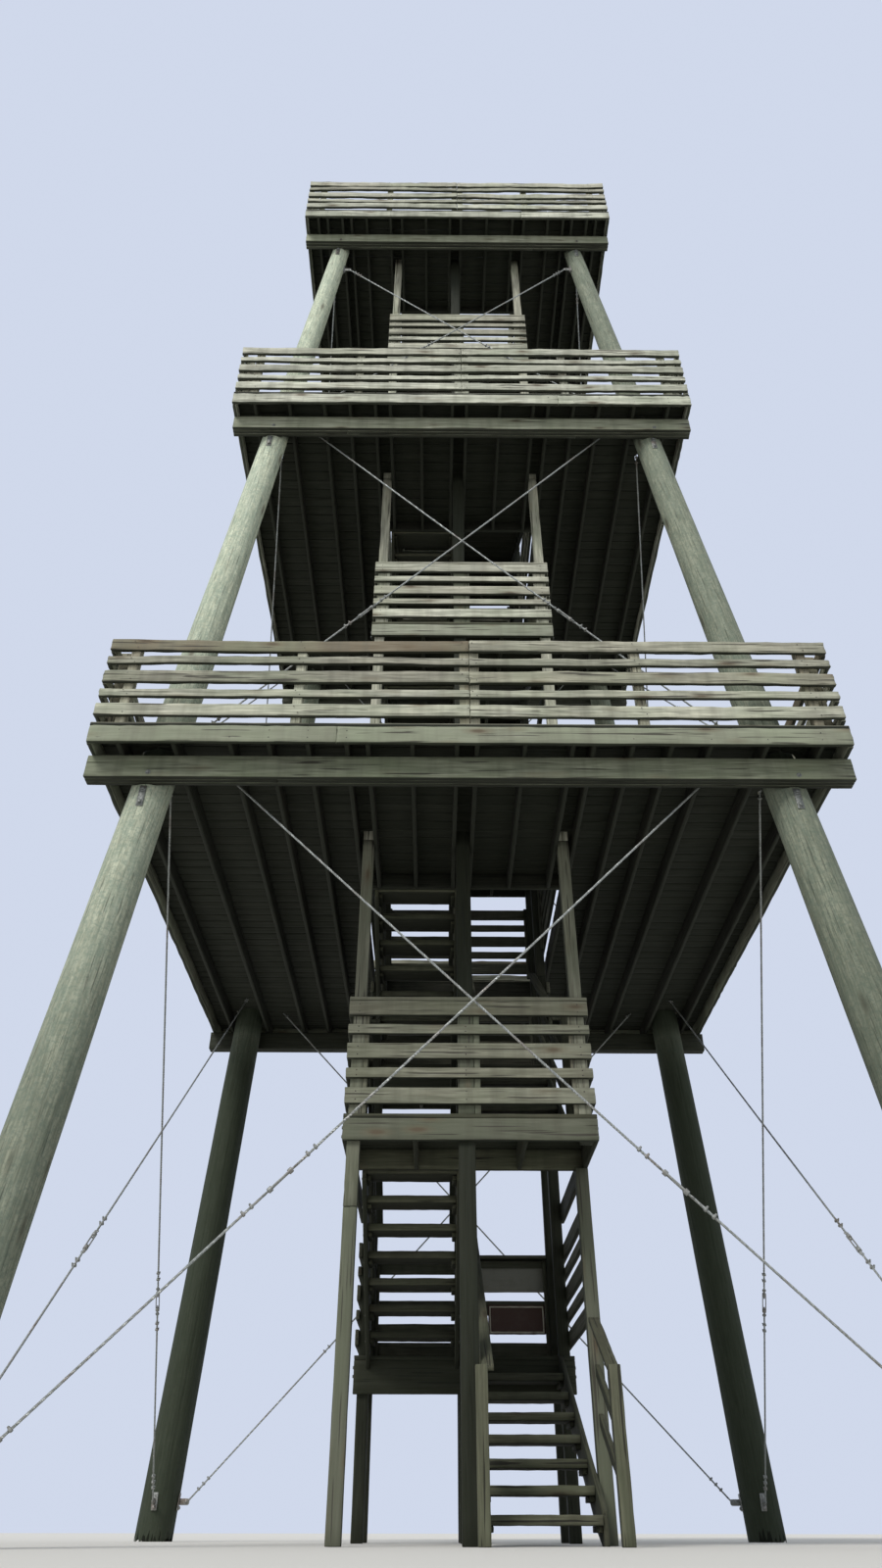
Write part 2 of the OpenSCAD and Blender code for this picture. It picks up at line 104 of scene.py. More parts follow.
def pickEdges(test):  # the test gets the places of both ends
    pick("EDGE", lambda edge: test(edge.verts[0].co, edge.verts[1].co))


def pickPoints(test):
    pick("VERT", lambda point: test(point.co))


def roundEdges(test, offset, segments=1):
    pickEdges(test)
    bpy.ops.mesh.bevel(offset=offset, segments=segments, affect="EDGES")


def closeEnds(axis):  # caps a tube at 0 and 1 on the axis
    for end in (0, 1):
        pickEdges(lambda a, b: abs(a[axis] - end) < 1e-4 and abs(b[axis] - end) < 1e-4)
        bpy.ops.mesh.edge_face_add()
    bpy.ops.mesh.select_all(action="SELECT")
    bpy.ops.mesh.normals_make_consistent(inside=False)


def applyModifier(piece, kind, **settings):
    modifier = piece.modifiers.new(kind.title(), kind)
    for name, value in settings.items():
        setattr(modifier, name, value)
    bpy.ops.object.modifier_apply(modifier=modifier.name)


def roughen(piece, name, scale, depth, strength, level=0.5):
    texture = bpy.data.textures.new(name, "CLOUDS")
    texture.noise_scale, texture.noise_depth = scale, depth
    applyModifier(piece, "DISPLACE", texture=texture, strength=strength, mid_level=level)


def readArray(items, name, kind, width=1):
    values = np.empty(len(items) * width, kind)
    items.foreach_get(name, values)
    return values


def takeMesh(piece):  # the finished template as arrays, so that each copy gets its own mesh
    mesh = piece.data
    shape = {"co": readArray(mesh.vertices, "co", float, 3).reshape(-1, 3),
             "corners": readArray(mesh.loops, "vertex_index", np.int32),
             "counts": readArray(mesh.polygons, "loop_total", np.int32)}
    bpy.data.objects.remove(piece)
    return shape


def finishShape(piece):
    editMode(False)
    bpy.ops.object.transform_apply(location=True, rotation=True, scale=True)
    return takeMesh(piece)


def joinShapes(shapes):
    bases = np.cumsum([0] + [len(shape["co"]) for shape in shapes])
    return {"co": np.concatenate([shape["co"] for shape in shapes]),
            "corners": np.concatenate([shape["corners"] + base for shape, base in zip(shapes, bases)]),
            "counts": np.concatenate([shape["counts"] for shape in shapes])}


# Sawn boards and posts: one metre long, stretched between their ends for each copy
stock = {
    "width": 0.14, "thick": 0.038, "post": 0.10, "cuts": 10, "railCuts": 26, "worn": 0.0045,
    "rough": 0.006, "railRough": 0.016, "roughScale": 0.035, "roughStep": 0.009, "roughLevel": 0.52,
    "edgeZone": 0.008, "endZone": 0.06, "variants": 4,
}


def modelBoard(name, width, thick, cuts, across, through, rough, scale):
    piece = startPiece("cube", size=1)
    editMode(True)
    bpy.ops.transform.resize(value=(1, width, thick))
    for axis, least, number in ((0, 0.5, cuts), (1, width * 0.9, across), (2, thick * 0.9, through)):
        if number:
            pickEdges(lambda a, b: abs(a[axis] - b[axis]) > least)
            bpy.ops.mesh.subdivide(number_cuts=number)
    reach = (0.5, width / 2, thick / 2)

    def onCorner(a, b):
        return sum(abs(abs(a[i]) - reach[i]) < 1e-5 and abs(abs(b[i]) - reach[i]) < 1e-5 for i in range(3)) >= 2
    roundEdges(onCorner, stock["worn"])
    editMode(False)
    roughen(piece, name, scale, 1, rough, stock["roughLevel"])
    return takeMesh(piece)


def modelSet(name, width, thick, across, through=0, cuts=stock["cuts"], rough=stock["rough"]):
    return [modelBoard(f"{name}{i}", width, thick, cuts, across, through, rough,
                       stock["roughScale"] + stock["roughStep"] * i) for i in range(stock["variants"])]


planks = modelSet("plankWear", stock["width"], stock["thick"], 3)
railPlanks = modelSet("railWear", stock["width"], stock["thick"], 3, cuts=stock["railCuts"], rough=stock["railRough"])
posts = modelSet("postWear", stock["post"], stock["post"], 2, 2)
print("sawn stock modelled")

# Boards, fittings and their grain are gathered in a bag, and each bag becomes one piece
flips = ((1, 1, 1), (-1, -1, 1), (1, -1, -1), (-1, 1, -1))
warp = {"wide": 0.002, "thin": 0.003, "wave": (0.0003, 0.0013), "skew": 0.0013, "fullLength": 3, "railLength": 1.5}


def newBag():
    return {"co": [], "corners": [], "counts": [], "grain": [], "tone": [], "base": 0}


def fill(bag, shape, co, grain, tone):
    for name, values in (("co", co), ("corners", shape["corners"] + bag["base"]), ("counts", shape["counts"]),
                         ("grain", grain), ("tone", np.full(len(co), tone))):
        bag[name].append(values)
    bag["base"] += len(co)


def grainOffset():
    return np.array([dice.uniform(0, 40) for _ in range(3)])


def stretch(t, old, new, zone):  # keeps the shape near both ends and stretches what lies between
    inner = (t / (old / 2 - zone)) * (new / 2 - zone)
    edge = np.sign(t) * (new / 2 - (old / 2 - np.abs(t)))
    return np.where(old / 2 - np.abs(t) < zone, edge, inner)


def addBoard(bag, low, high, along, slope=0.0, ends=None, bow=1.0, limit=None, tone=None):
    low, high = np.array(low, float), np.array(high, float)
    size = high - low
    length = size[along]
    wide, thin = sorted((i for i in range(3) if i != along), key=lambda i: -size[i])
    isPost = size[thin] > 0.6 * size[wide]
    isRail = bow > 1 and length > warp["railLength"]
    shape = dice.choice(posts if isPost else railPlanks if isRail else planks)
    width, thick = (stock["post"], stock["post"]) if isPost else (stock["width"], stock["thick"])
    t = shape["co"] * dice.choice(flips)
    a = stretch(t[:, 0], 1.0, length, min(stock["endZone"], length * 0.3))
    w = stretch(t[:, 1], width, size[wide], stock["edgeZone"])
    h = stretch(t[:, 2], thick, size[thin], stock["edgeZone"])
    if (along, wide, thin) in ((1, 0, 2), (0, 2, 1), (2, 1, 0)):  # keeps the faces outwards
        h = -h
    share = a / length + 0.5
    calm = min(1.0, length / warp["fullLength"])
    curve = 4 * share * (1 - share) * bow * calm
    wave = np.sin(a * dice.uniform(2, 4) + dice.uniform(0, 6))
    wave = (wave + 0.6 * np.sin(a * dice.uniform(6, 9) + dice.uniform(0, 6))) * bow * calm
    pos = np.empty_like(t)
    pos[:, along] = a
    for axis, across, most in ((wide, w, warp["wide"]), (thin, h, warp["thin"])):
        pos[:, axis] = across + curve * dice.uniform(-most, most) + wave * dice.uniform(*warp["wave"])
    pos[:, wide] += (share - 0.5) * dice.uniform(-warp["skew"], warp["skew"]) * bow
    pos += (low + high) / 2
    if ends:  # cut to a line that the caller gives
        start, stop = ends(pos)
        pos[:, along] = start + (stop - start) * share
    if slope:
        pos[:, 2] += slope * (pos[:, 1] - low[1])
    if limit:
        pos[:, 2] = np.clip(pos[:, 2], *limit)
    grain = np.stack([a, w, h], 1) + grainOffset()
    fill(bag, shape, pos, grain, dice.random() if tone is None else tone)


def addCentred(bag, x, width, y0, y1, z0, z1, along, **wear):
    addBoard(bag, (x - width / 2, y0, z0), (x + width / 2, y1, z1), along, **wear)


def addPost(bag, x, y, side, z0, z1, tone=0.15):
    addCentred(bag, x, side, y - side / 2, y + side / 2, z0, z1, 2, bow=0.3, tone=tone)


def stamp(bag, shape, matrix, scale=1):
    m = np.array(matrix, float)
    local = shape["co"] * np.array(scale)
    fill(bag, shape, local @ m[:3, :3].T + m[:3, 3], local + grainOffset(), 0.5)


def facing(place, normal):  # a matrix that turns +Z to the normal
    z = Vector(normal).normalized()
    x = Vector((0, 0, 1)).cross(z)
    x = x.normalized() if x.length > 1e-6 else Vector((1, 0, 0))
    m = Matrix((x, z.cross(x), z)).transposed().to_4x4()
    m.translation = place
    return m


def makePiece(bag, name, nodes, material, smooth=False):
    co, corners, counts, grain, tone = (np.concatenate(bag[key])
                                        for key in ("co", "corners", "counts", "grain", "tone"))
    mesh = bpy.data.meshes.new(name)
    mesh.vertices.add(len(co))
    mesh.vertices.foreach_set("co", co.astype(np.float32).ravel())
    mesh.loops.add(len(corners))
    mesh.loops.foreach_set("vertex_index", corners.astype(np.int32))
    mesh.polygons.add(len(counts))
    mesh.polygons.foreach_set("loop_start", (np.cumsum(counts) - counts).astype(np.int32))
    mesh.update(calc_edges=True)
    for key, kind, field, values in (("grain", "FLOAT_VECTOR", "vector", grain), ("tone", "FLOAT", "value", tone)):
        mesh.attributes.new(key, kind, "POINT").data.foreach_set(field, values.astype(np.float32).ravel())
    piece = bpy.data.objects.new(name, mesh)
    bpy.context.scene.collection.objects.link(piece)
    mesh.materials.append(material)
    if smooth:
        bpy.ops.object.select_all(action="DESELECT")
        piece.select_set(True)
        bpy.context.view_layer.objects.active = piece
        bpy.ops.object.shade_smooth_by_angle(angle=math.radians(50))
    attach(piece, "root")
    if nodes:
        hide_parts(*nodes)


# Material helpers
class Recipe:
    def __init__(self, owner):
        self.owner = owner
        owner.use_nodes = True
        self.nodes, self.links = owner.node_tree.nodes, owner.node_tree.links

    def feed(self, socket, value):  # a socket takes a link, a colour or a number
        if hasattr(value, "is_linked"):
            self.links.new(value, socket)
        else:
            socket.default_value = (*value, 1) if socket.type == "RGBA" else value

    def add(self, kind, sockets, output=0, **settings):
        node = self.nodes.new(f"ShaderNode{kind}")
        for name, value in settings.items():
            setattr(node, name, value)
        for socket, value in sockets.items():
            self.feed(node.inputs[socket], value)
        return node.outputs[output]

    def attribute(self, name, output="Vector"):
        return self.add("Attribute", {}, output, attribute_name=name)

    def objectPlace(self):
        return self.add("TexCoord", {}, "Object")

    def place(self, source, scale):
        return self.add("Mapping", {"Vector": source, "Scale": scale})

    def split(self, source):
        return self.add("SeparateXYZ", {0: source}).node.outputs

    def noise(self, source, scale=1.0, detail=2.0, roughness=0.5, distortion=0.0):
        return self.add("TexNoise", {"Vector": source, "Scale": scale, "Detail": detail,
                                     "Roughness": roughness, "Distortion": distortion})

    def cells(self, source):
        return self.add("TexVoronoi", {"Vector": source, "Scale": 1.0}, "Distance")

    def remap(self, source, low, high, toLow=0.0, toHigh=1.0):
        return self.add("MapRange", {"Value": source, "From Min": low, "From Max": high,
                                     "To Min": toLow, "To Max": toHigh})

    def math(self, kind, a, b):
        return self.add("Math", {0: a, 1: b}, operation=kind)

    def blend(self, share, a, b, kind="MIX"):
        return self.add("Mix", {0: share, 6: a, 7: b}, 2, data_type="RGBA", blend_type=kind)

    def cover(self, colour, mask, share, tint):
        return self.blend(self.math("MULTIPLY", mask, share), colour, tint)

    def finish(self, colour, roughness, height, strength, relief, **fixed):
        bump = self.add("Bump", {"Height": height, "Strength": strength, "Distance": relief}, "Normal")
        shader = self.nodes["Principled BSDF"].inputs
        for name, value in (("Base Color", colour), ("Roughness", roughness), ("Normal", bump), *fixed.items()):
            self.feed(shader[name], value)
        return self.owner


def weatheredWood(name, base, **changes):
    look = dict(base, **changes)
    r = Recipe(bpy.data.materials.new(name))
    grain, tone, spot = r.attribute("grain"), r.attribute("tone", "Fac"), r.objectPlace()
    fibres = r.noise(r.place(grain, look["fibreScale"]), detail=4, roughness=0.65)
    figure = r.noise(r.place(grain, look["figureScale"]), detail=2, distortion=0.7)
    checks = r.remap(r.noise(r.place(grain, look["checkScale"]), detail=1.5), look["checkFrom"],
                     look["checkFrom"] + 0.04)
    knots = r.cells(r.place(grain, look["knotScale"]))
    patches = r.remap(r.noise(spot, scale=look["patchScale"], detail=3, roughness=0.6), 0.42, 0.68)
    runs = r.remap(r.noise(r.place(spot, look["runScale"]), detail=3), 0.45, 0.75)
    boardShade = r.remap(r.noise(r.place(grain, look["shadeScale"]), detail=0), 0.35, 0.65,
                         1 - look["spread"], 1 + look["spread"])
    colour = r.blend(r.remap(figure, 0.38, 0.62), look["pale"], look["grey"])
    colour = r.blend(r.remap(fibres, 0.42, 0.68, 0.0, look["fibre"]), colour, look["dark"])
    colour = r.blend(r.remap(tone, 0.0, 1.0, 0.0, look["browning"]), colour, look["brown"])
    if look["dampShare"]:  # negative tones are damp, and darken with painted shade
        colour = r.blend(r.remap(tone, 0.0, -1.0, 0.0, look["dampShare"]), colour, look["damp"])
    colour = r.cover(colour, patches, look["mossShare"], look["moss"])
    colour = r.cover(colour, runs, look["runShare"], look["dark"])
    if look["lichenShare"]:  # small grey-green crusts
        lichen = r.remap(r.noise(spot, scale=34, detail=2.5, roughness=0.75), 0.47, 0.60, 0.0, look["lichenShare"])
        colour = r.blend(lichen, colour, look["lichen"])
    colour = r.blend(1.0, colour, r.add("CombineColor", {i: boardShade for i in range(3)}), "MULTIPLY")
    colour = r.cover(colour, r.remap(knots, 0.14, 0.30, 1.0, 0.0), look["ringShare"], look["brown"])
    colour = r.cover(colour, r.remap(knots, 0.06, 0.15, 1.0, 0.0), look["knotShare"], look["knot"])
    colour = r.cover(colour, checks, look["checkShare"], look["check"])
    normal = r.split(r.add("NewGeometry", {}, "Normal"))
    # painted shade, with the unbleached wood of undersides: faces turned downwards take the dark under colour
    under = r.remap(normal["Z"], look["underFrom"], look["underFrom"] - 0.45, 0.0, look["underShare"])
    colour = r.blend(under, colour, look["under"])
    if look["innerShare"]:  # painted shade: faces turned to the tower's axis are darkened
        place = r.split(spot)
        inward = r.math("ADD", *(r.math("MULTIPLY", normal[axis], place[axis]) for axis in ("X", "Y")))
        colour = r.blend(r.remap(inward, 0.1, -0.7, 0.0, look["innerShare"]), colour, look["under"])
    if look["shadeShare"]:
        colour = r.cover(colour, tone, look["shadeShare"], look["shade"])
    height = r.math("SUBTRACT", r.math("MULTIPLY", fibres, 0.5), checks)
    return r.finish(colour, r.remap(fibres, 0.3, 0.7, 0.72, 0.95), height, 0.6, look["relief"],
                    **{"Specular IOR Level": 0.3})


boardLook = {
    "pale": (0.54, 0.54, 0.44), "grey": (0.33, 0.335, 0.28), "dark": (0.13, 0.127, 0.10), "fibre": 0.65,
    "brown": (0.15, 0.115, 0.072), "browning": 0.85, "damp": (0.17, 0.185, 0.135), "dampShare": 0.9,
    "moss": (0.24, 0.285, 0.19), "mossShare": 0.4, "patchScale": 1.1, "runShare": 0.48, "runScale": (9, 9, 0.8),
    "lichen": (0.26, 0.33, 0.27), "lichenShare": 0.0, "spread": 0.18, "shadeScale": (0.03, 0.03, 0.03),
    "knot": (0.10, 0.075, 0.05), "knotShare": 0.8, "ringShare": 0.4, "knotScale": (1.7, 6, 6),
    "check": (0.05, 0.046, 0.038), "checkShare": 0.85, "checkFrom": 0.63, "checkScale": (1.3, 42, 42),
    "under": (0.013, 0.017, 0.010), "underShare": 0.92, "underFrom": -0.35, "innerShare": 0.0,
    "shade": (0.02, 0.025, 0.015), "shadeShare": 0.0, "fibreScale": (2.4, 52, 52), "figureScale": (1.8, 19, 19),
    "relief": 0.003,
}
dryLook = dict(boardLook, dampShare=0.0, browning=0.55)
# painted shade: the stair timber inside the tower is far darker than the deck boards
stairLook = dict(dryLook, browning=0.4, pale=(0.125, 0.128, 0.088), grey=(0.085, 0.09, 0.06),
                 dark=(0.045, 0.044, 0.03), brown=(0.08, 0.068, 0.042), moss=(0.065, 0.08, 0.045),
                 under=(0.014, 0.016, 0.010), knot=(0.03, 0.024, 0.016), check=(0.015, 0.014, 0.011),
                 innerShare=0.75, shadeShare=0.5)
beamLook = dict(dryLook, pale=(0.25, 0.27, 0.20), grey=(0.17, 0.19, 0.135), dark=(0.08, 0.085, 0.06),
                brown=(0.16, 0.145, 0.095), moss=(0.14, 0.18, 0.10), under=(0.012, 0.014, 0.009),
                knot=(0.06, 0.048, 0.032), check=(0.025, 0.023, 0.018), innerShare=0.9)

# painted shade: the first deck's board and beam wood are darker copies of the upper decks' pale ones
boardWood = weatheredWood("weatheredBoards", boardLook)
upperBoardWood = weatheredWood("paleUpperBoards", boardLook, browning=0.4, pale=(0.70, 0.715, 0.605),
                               grey=(0.46, 0.475, 0.405), dark=(0.17, 0.17, 0.135))
# painted shade: all but the top faces of the floor boards take the dark under colour
floorWood = weatheredWood("shadedUndersideFloor", dryLook, underFrom=0.55, under=(0.011, 0.014, 0.008), underShare=0.97)
railWood = weatheredWood("shadedRailBoards", boardLook, browning=0.3, pale=(0.24, 0.245, 0.19),
                         grey=(0.17, 0.178, 0.135), dark=(0.085, 0.083, 0.062), brown=(0.14, 0.115, 0.075),
                         moss=(0.13, 0.155, 0.095), damp=(0.115, 0.125, 0.09), innerShare=0.6)
stairWood = weatheredWood("shadedStairTimber", stairLook)
# painted shade: the stair posts low inside the tower are nearly black
postWood = weatheredWood("dampStairPosts", stairLook, pale=(0.075, 0.082, 0.052), grey=(0.05, 0.056, 0.036),
                         dark=(0.026, 0.027, 0.018), brown=(0.05, 0.044, 0.028), moss=(0.04, 0.052, 0.028),
                         shade=(0.011, 0.014, 0.008), shadeShare=0.9)
beamWood = weatheredWood("greenishBeams", beamLook)
upperBeamWood = weatheredWood("paleBeams", beamLook, pale=(0.52, 0.55, 0.43), grey=(0.38, 0.41, 0.31),
                              dark=(0.17, 0.18, 0.13))
shadedWood = weatheredWood("shadedJoists", dryLook, pale=(0.024, 0.026, 0.018), grey=(0.017, 0.019, 0.013),
                           dark=(0.009, 0.010, 0.007), brown=(0.02, 0.017, 0.011), moss=(0.016, 0.021, 0.013),
                           under=(0.017, 0.020, 0.013), knot=(0.010, 0.008, 0.006), check=(0.005, 0.005, 0.004))
poleWood = weatheredWood("barkStrippedPoles", dryLook, browning=0.0, pale=(0.62, 0.655, 0.51),
                         grey=(0.48, 0.525, 0.42), dark=(0.25, 0.275, 0.21), brown=(0.36, 0.35, 0.26),
                         moss=(0.30, 0.37, 0.29), mossShare=0.5, patchScale=8, lichenShare=0.6, runShare=0.25,
                         fibre=0.9, relief=0.006, fibreScale=(4.5, 62, 62), figureScale=(0.7, 22, 22),
                         knot=(0.14, 0.13, 0.10), knotScale=(1, 4, 4), ringShare=0.1, checkScale=(2.6, 60, 60),
                         checkShare=0.45, checkFrom=0.655, underShare=0.0, shade=(0.022, 0.030, 0.017),
                         shadeShare=1.0)

steel = {"rust": (0.16, 0.075, 0.035), "rustShare": 0.45, "spangle": (70, 70, 70), "relief": 0.0008}


def zincSteel(name, bright, dull, metal):
    r = Recipe(bpy.data.materials.new(name))
    spangle = r.noise(r.place(r.attribute("grain"), steel["spangle"]), detail=2)
    stain = r.remap(r.noise(r.objectPlace(), scale=4.5, detail=4, roughness=0.65), 0.52, 0.72)
    colour = r.blend(r.remap(spangle, 0.35, 0.65), bright, dull)
    colour = r.cover(colour, stain, steel["rustShare"], steel["rust"])
    return r.finish(colour, r.remap(spangle, 0.3, 0.7, 0.45, 0.68), spangle, 0.3, steel["relief"], Metallic=metal)


fittingZinc = zincSteel("dullZinc", (0.30, 0.31, 0.30), (0.20, 0.21, 0.20), 0.3)
plateZinc = zincSteel("stainedZinc", (0.22, 0.23, 0.22), (0.13, 0.14, 0.13), 0.55)
nailZinc = zincSteel("stainedNails", (0.05, 0.045, 0.038), (0.03, 0.027, 0.024), 0.3)
wireZinc = zincSteel("wireZinc", (0.40, 0.42, 0.41), (0.27, 0.29, 0.28), 0.55)
print("materials made")

# Poles: a trunk of radius 1 and length 1 about the Y axis, laid out on each pole's lean
trunk = {
    "rings": 130, "sides": 96, "flutes": (0.32, 1, 0.03), "fibres": (0.06, 2, 0.04),  # scale, depth and strength
    "checks": 12, "checkDepth": 0.025, "slim": 0.985,
    # Tones for the poles' shade colour: painted shade with damp down the back poles and towards the foot of the front
    # poles; painted shade alone on the front right pole and in bands where joists and floors cover the poles
    "turns": {"front": (0.4, 2.1), "back": (3.6, 5.2)}, "rightSideShade": 0.58, "shadeBands": (0.06, 0.05, 0.97),
    "damp": {"front": ((0, 0.62), (2.5, 0.55), (4.2, 0.22), (6, 0.12), (9, 0.0), (20, 0.0)),  # height and share
             "back": ((0, 0.97), (5, 0.975), (7, 0.5), (20, 0.35))},
}


def modelTrunk():
    piece = startPiece("grid", x_subdivisions=1, y_subdivisions=trunk["rings"], size=1)
    editMode(True)
    pickPoints(lambda co: co.x > 0)
    bpy.ops.mesh.delete(type="VERT")
    bpy.ops.mesh.select_all(action="SELECT")
    bpy.ops.transform.translate(value=(1.5, 0.5, 0))
    bpy.ops.mesh.spin(steps=trunk["sides"], angle=math.tau, center=(0, 0, 0), axis=(0, 1, 0))
    bpy.ops.mesh.select_all(action="SELECT")
    bpy.ops.mesh.remove_doubles(threshold=1e-4)
    closeEnds(1)
    step, depth = math.tau / trunk["sides"], 1 - trunk["checkDepth"]
    for _ in range(trunk["checks"]):  # long drying checks, pulled in along the grain
        column = dice.randrange(trunk["sides"]) * step
        start = dice.uniform(0.0, 0.92)
        stop = start + dice.uniform(0.05, 0.28)
        pickPoints(lambda co: start < co.y < stop
                   and abs((math.atan2(co.z, co.x) - column + math.pi) % math.tau - math.pi) < step * 0.4)
        bpy.ops.transform.resize(value=(depth, 1, depth), center_override=(0, 0, 0))
    editMode(False)
    for name in ("flutes", "fibres"):
        roughen(piece, name, *trunk[name])
    return takeMesh(piece)


trunkShape = modelTrunk()


def layPole(sx, sy, turn, damp):
    bag = newBag()
    t = trunkShape["co"]
    z = np.clip(t[:, 1], 0, 1) * joistZ(3)
    radius, axis = radiusAt(z) * trunk["slim"], axisAt(z)
    x = (t[:, 0] * math.cos(turn) + t[:, 2] * math.sin(turn)) * radius
    y = (t[:, 0] * math.sin(turn) - t[:, 2] * math.cos(turn)) * radius
    tone = np.interp(z, *zip(*damp))
    # painted shade: the front right pole is darker
    if sx > 0 > sy:
        tone = tone + (1 - tone) * trunk["rightSideShade"]
    below, above, most = trunk["shadeBands"]
    for k in (1, 2, 3):  # painted shade: the pole is darker where joists and floor cover it
        tone = np.where((z > joistZ(k) - below) & (z < deckZ(k) + above), most, tone)
    co = np.stack([x + sx * axis, y + sy * axis, z], 1)
    fill(bag, trunkShape, co, np.stack([z, x, y], 1) + grainOffset(), tone)
    return bag


for face, sy in (("front", -1), ("back", 1)):
    for side, sx, turn in zip(("left", "right"), (-1, 1), trunk["turns"][face]):
        makePiece(layPole(sx, sy, turn, trunk["damp"][face]), f"pole{face.title()}{side.title()}",
                  [f"pole_{face}_{side}"], poleWood, smooth=True)
print("poles laid")

# Decks: beams in three plies, joists, floor boards and railings
deck = {
    "plies": 3, "plyGap": 0.003, "floorBoard": 0.140, "floorGap": 0.007, "joistStep": 0.400, "joistOff": 0.060,
    "poleGap": 0.012, "cableHole": (0.022, 0.042), "slabGap": 0.004, "sawCut": 0.001, "nailIn": 0.03,
    "buttGap": 0.002, "jointReach": 0.62, "jointClear": 0.25, "shortest": 0.05, "beamBolt": (0.03, 0.07),
    "railHeight": 1.067, "wide": 0.140, "narrow": 0.089, "lowGap": 0.125, "post": 0.089, "postInset": 0.240,
    "nailShare": 0.27, "nailAside": 0.02, "rimNails": (0.05, 0.13), "rimJoints": (-0.35, 0.3, 0.42),
    "railBow": 5.5, "rimBow": 1.6, "toneSpread": 0.1,
    # painted shade, in the damp colour: the first deck's rim takes strongly negative tones
    "rimTones": ((-0.95, -0.7), (-0.15, 0.1), (-0.15, 0.1)),
    "tones": (  # left and right halves of the rail boards, top board first: browner above, greener below
        ((1.0, 0.3), (0.15, 0.1), (0.25, 0.3), (-0.12, 0.0), (-0.15, -0.1)),
        ((0.4, 0.3), (0.2, 0.2), (0.15, 0.15), (0.1, 0.1), (0.1, 0.1)),
        ((0.9, 0.8), (0.9, 0.9), (0.7, 0.8), (0.5, 0.6), (0.1, 0.1))),
}
stair = {
    "post": 0.110, "half": 0.985, "seam": 2.2, "middlePost": 0.140, "middleLeft": 0.030, "backEdge": 0.950,
    "landing": 0.900, "landingRows": 6, "landingGap": 0.003, "header": 0.286, "tread": 0.064, "nosing": 0.020,
    "stringer": 0.330, "over": 0.025, "flightWidth": 0.898, "handHeight": 1.100, "handStep": 0.340,
    "newelOut": 0.050, "cleat": 0.038, "cap": 0.140, "frameBolts": (0.055, 0.13), "treadBolts": (0.09, 0.17),
    "jointDrop": 0.6, "jointShift": 0.25, "frontDrop": 0.15, "shortest": 0.5,
    "upperFrom": 5, "middleFrom": 2, "jointCleat": (0.012, 0.052), "treadCleat": (0.05, 0.01, 0.04),
    # the wet, front, cleat and rim tones darken parts with the damp colour, painted shade with damp; the middle and
    # header tones darken the middle post and the back headers with painted shade
    "nailX": 0.46, "endNails": (0.25, 0.75), "wetAndShadeTone": -1.0, "frontTone": -0.85, "cleatTone": -0.7,
    "postTone": 0.08, "middleTone": 0.95, "rimTone": -0.75, "headerTone": 0.9,
}
postHalf, cleat, railHeight = stair["post"] / 2, stair["cleat"], deck["railHeight"]
stairOut = stair["half"] + postHalf + boardT
frontEdge = (tower["risers"] - 1) * tower["going"] - stair["backEdge"]
stairFront, stairBack = frontEdge + stair["landing"], stair["backEdge"] + stair["landing"]
frontRow = -(stairFront - boardT - fit - postHalf)
middleRow = -(stairFront - boardT - fit - stair["middlePost"] / 2)
edgeRow = -(frontEdge + fit + postHalf)
innerRow = stair["backEdge"] + boardT + fit + postHalf
backRow = stairBack - boardT - fit - postHalf
innerFace, setbackX = stair["half"] - postHalf, stairOut - postHalf
newelY = -(stairFront + stair["newelOut"])
railHeights = (deck["wide"], deck["narrow"], deck["wide"], deck["narrow"], deck["wide"])
railGap = (railHeight - deck["lowGap"] - sum(railHeights)) / 4
railTops = [railHeight - sum(railHeights[:i]) - i * railGap for i in range(5)]

brace = {
    "rope": 0.020, "footEnd": 0.350, "topEnd": 0.150, "lowEnd": 0.330, "lastEnd": 0.940, "ear": 0.110,
    "earIn": 0.015, "earH": 0.060, "plateW": 0.060, "plateH": 0.160, "plateT": 0.008, "plateBolts": 0.055,
    "pinIn": 0.028, "buckleAt": 2.200, "buckleLength": 0.300, "buckle": 0.044, "buckleOver": 0.02,
    "sag": 0.022, "turns": 42, "ropeSteps": 210, "endClips": (0.16, 0.23, 0.30), "buckleClips": (0.10, 0.17),
    "plateCorner": 0.008, "plateWorn": 0.0012, "earOver": 0.01, "earCorner": 0.022, "earSet": 0.002,
}
crossGap = (brace["rope"] + brace["buckle"]) / 4


def lowZ(k):
    return brace["footEnd"] if k == 1 else deckZ(k - 1) + brace["lowEnd"]


def highZ(k):
    return deckZ(k) - brace["lastEnd"] if k == 3 else deckZ(k) + brace["topEnd"]


def earX(z):
    return axisAt(z) - radiusAt(z) - brace["ear"]


def cableX(k):
    return earX(highZ(k)) - (highZ(k) - joistZ(k)) * (earX(highZ(k)) + earX(lowZ(k))) / (highZ(k) - lowZ(k))


def cableAt(k, sx, z):  # where a cable of the front side passes a height
    share = (z - lowZ(k)) / (highZ(k) - lowZ(k))
    low, high = earX(lowZ(k)) + brace["earIn"], earX(highZ(k)) + brace["earIn"]
    return sx * (low - (low + high) * share), sx * crossGap - axisAt(lowZ(k)) * (1 - share) - axisAt(highZ(k)) * share


# Nails and bolts are modelled once and stamped where boards meet
fixing = {"nail": (0.0062, 0.0062, 0.003), "head": 0.0175, "headDepth": 0.014, "washer": 0.029, "washerDepth": 0.006,
          "frameBolt": 0.8, "treadBolt": 0.5, "plateBolt": 0.7, "pinBolt": 0.62}


def modelNail():
    piece = startPiece("uv_sphere", segments=8, ring_count=4, radius=1)
    editMode(True)
    bpy.ops.transform.resize(value=(1, 1, 0.5))
    return finishShape(piece)


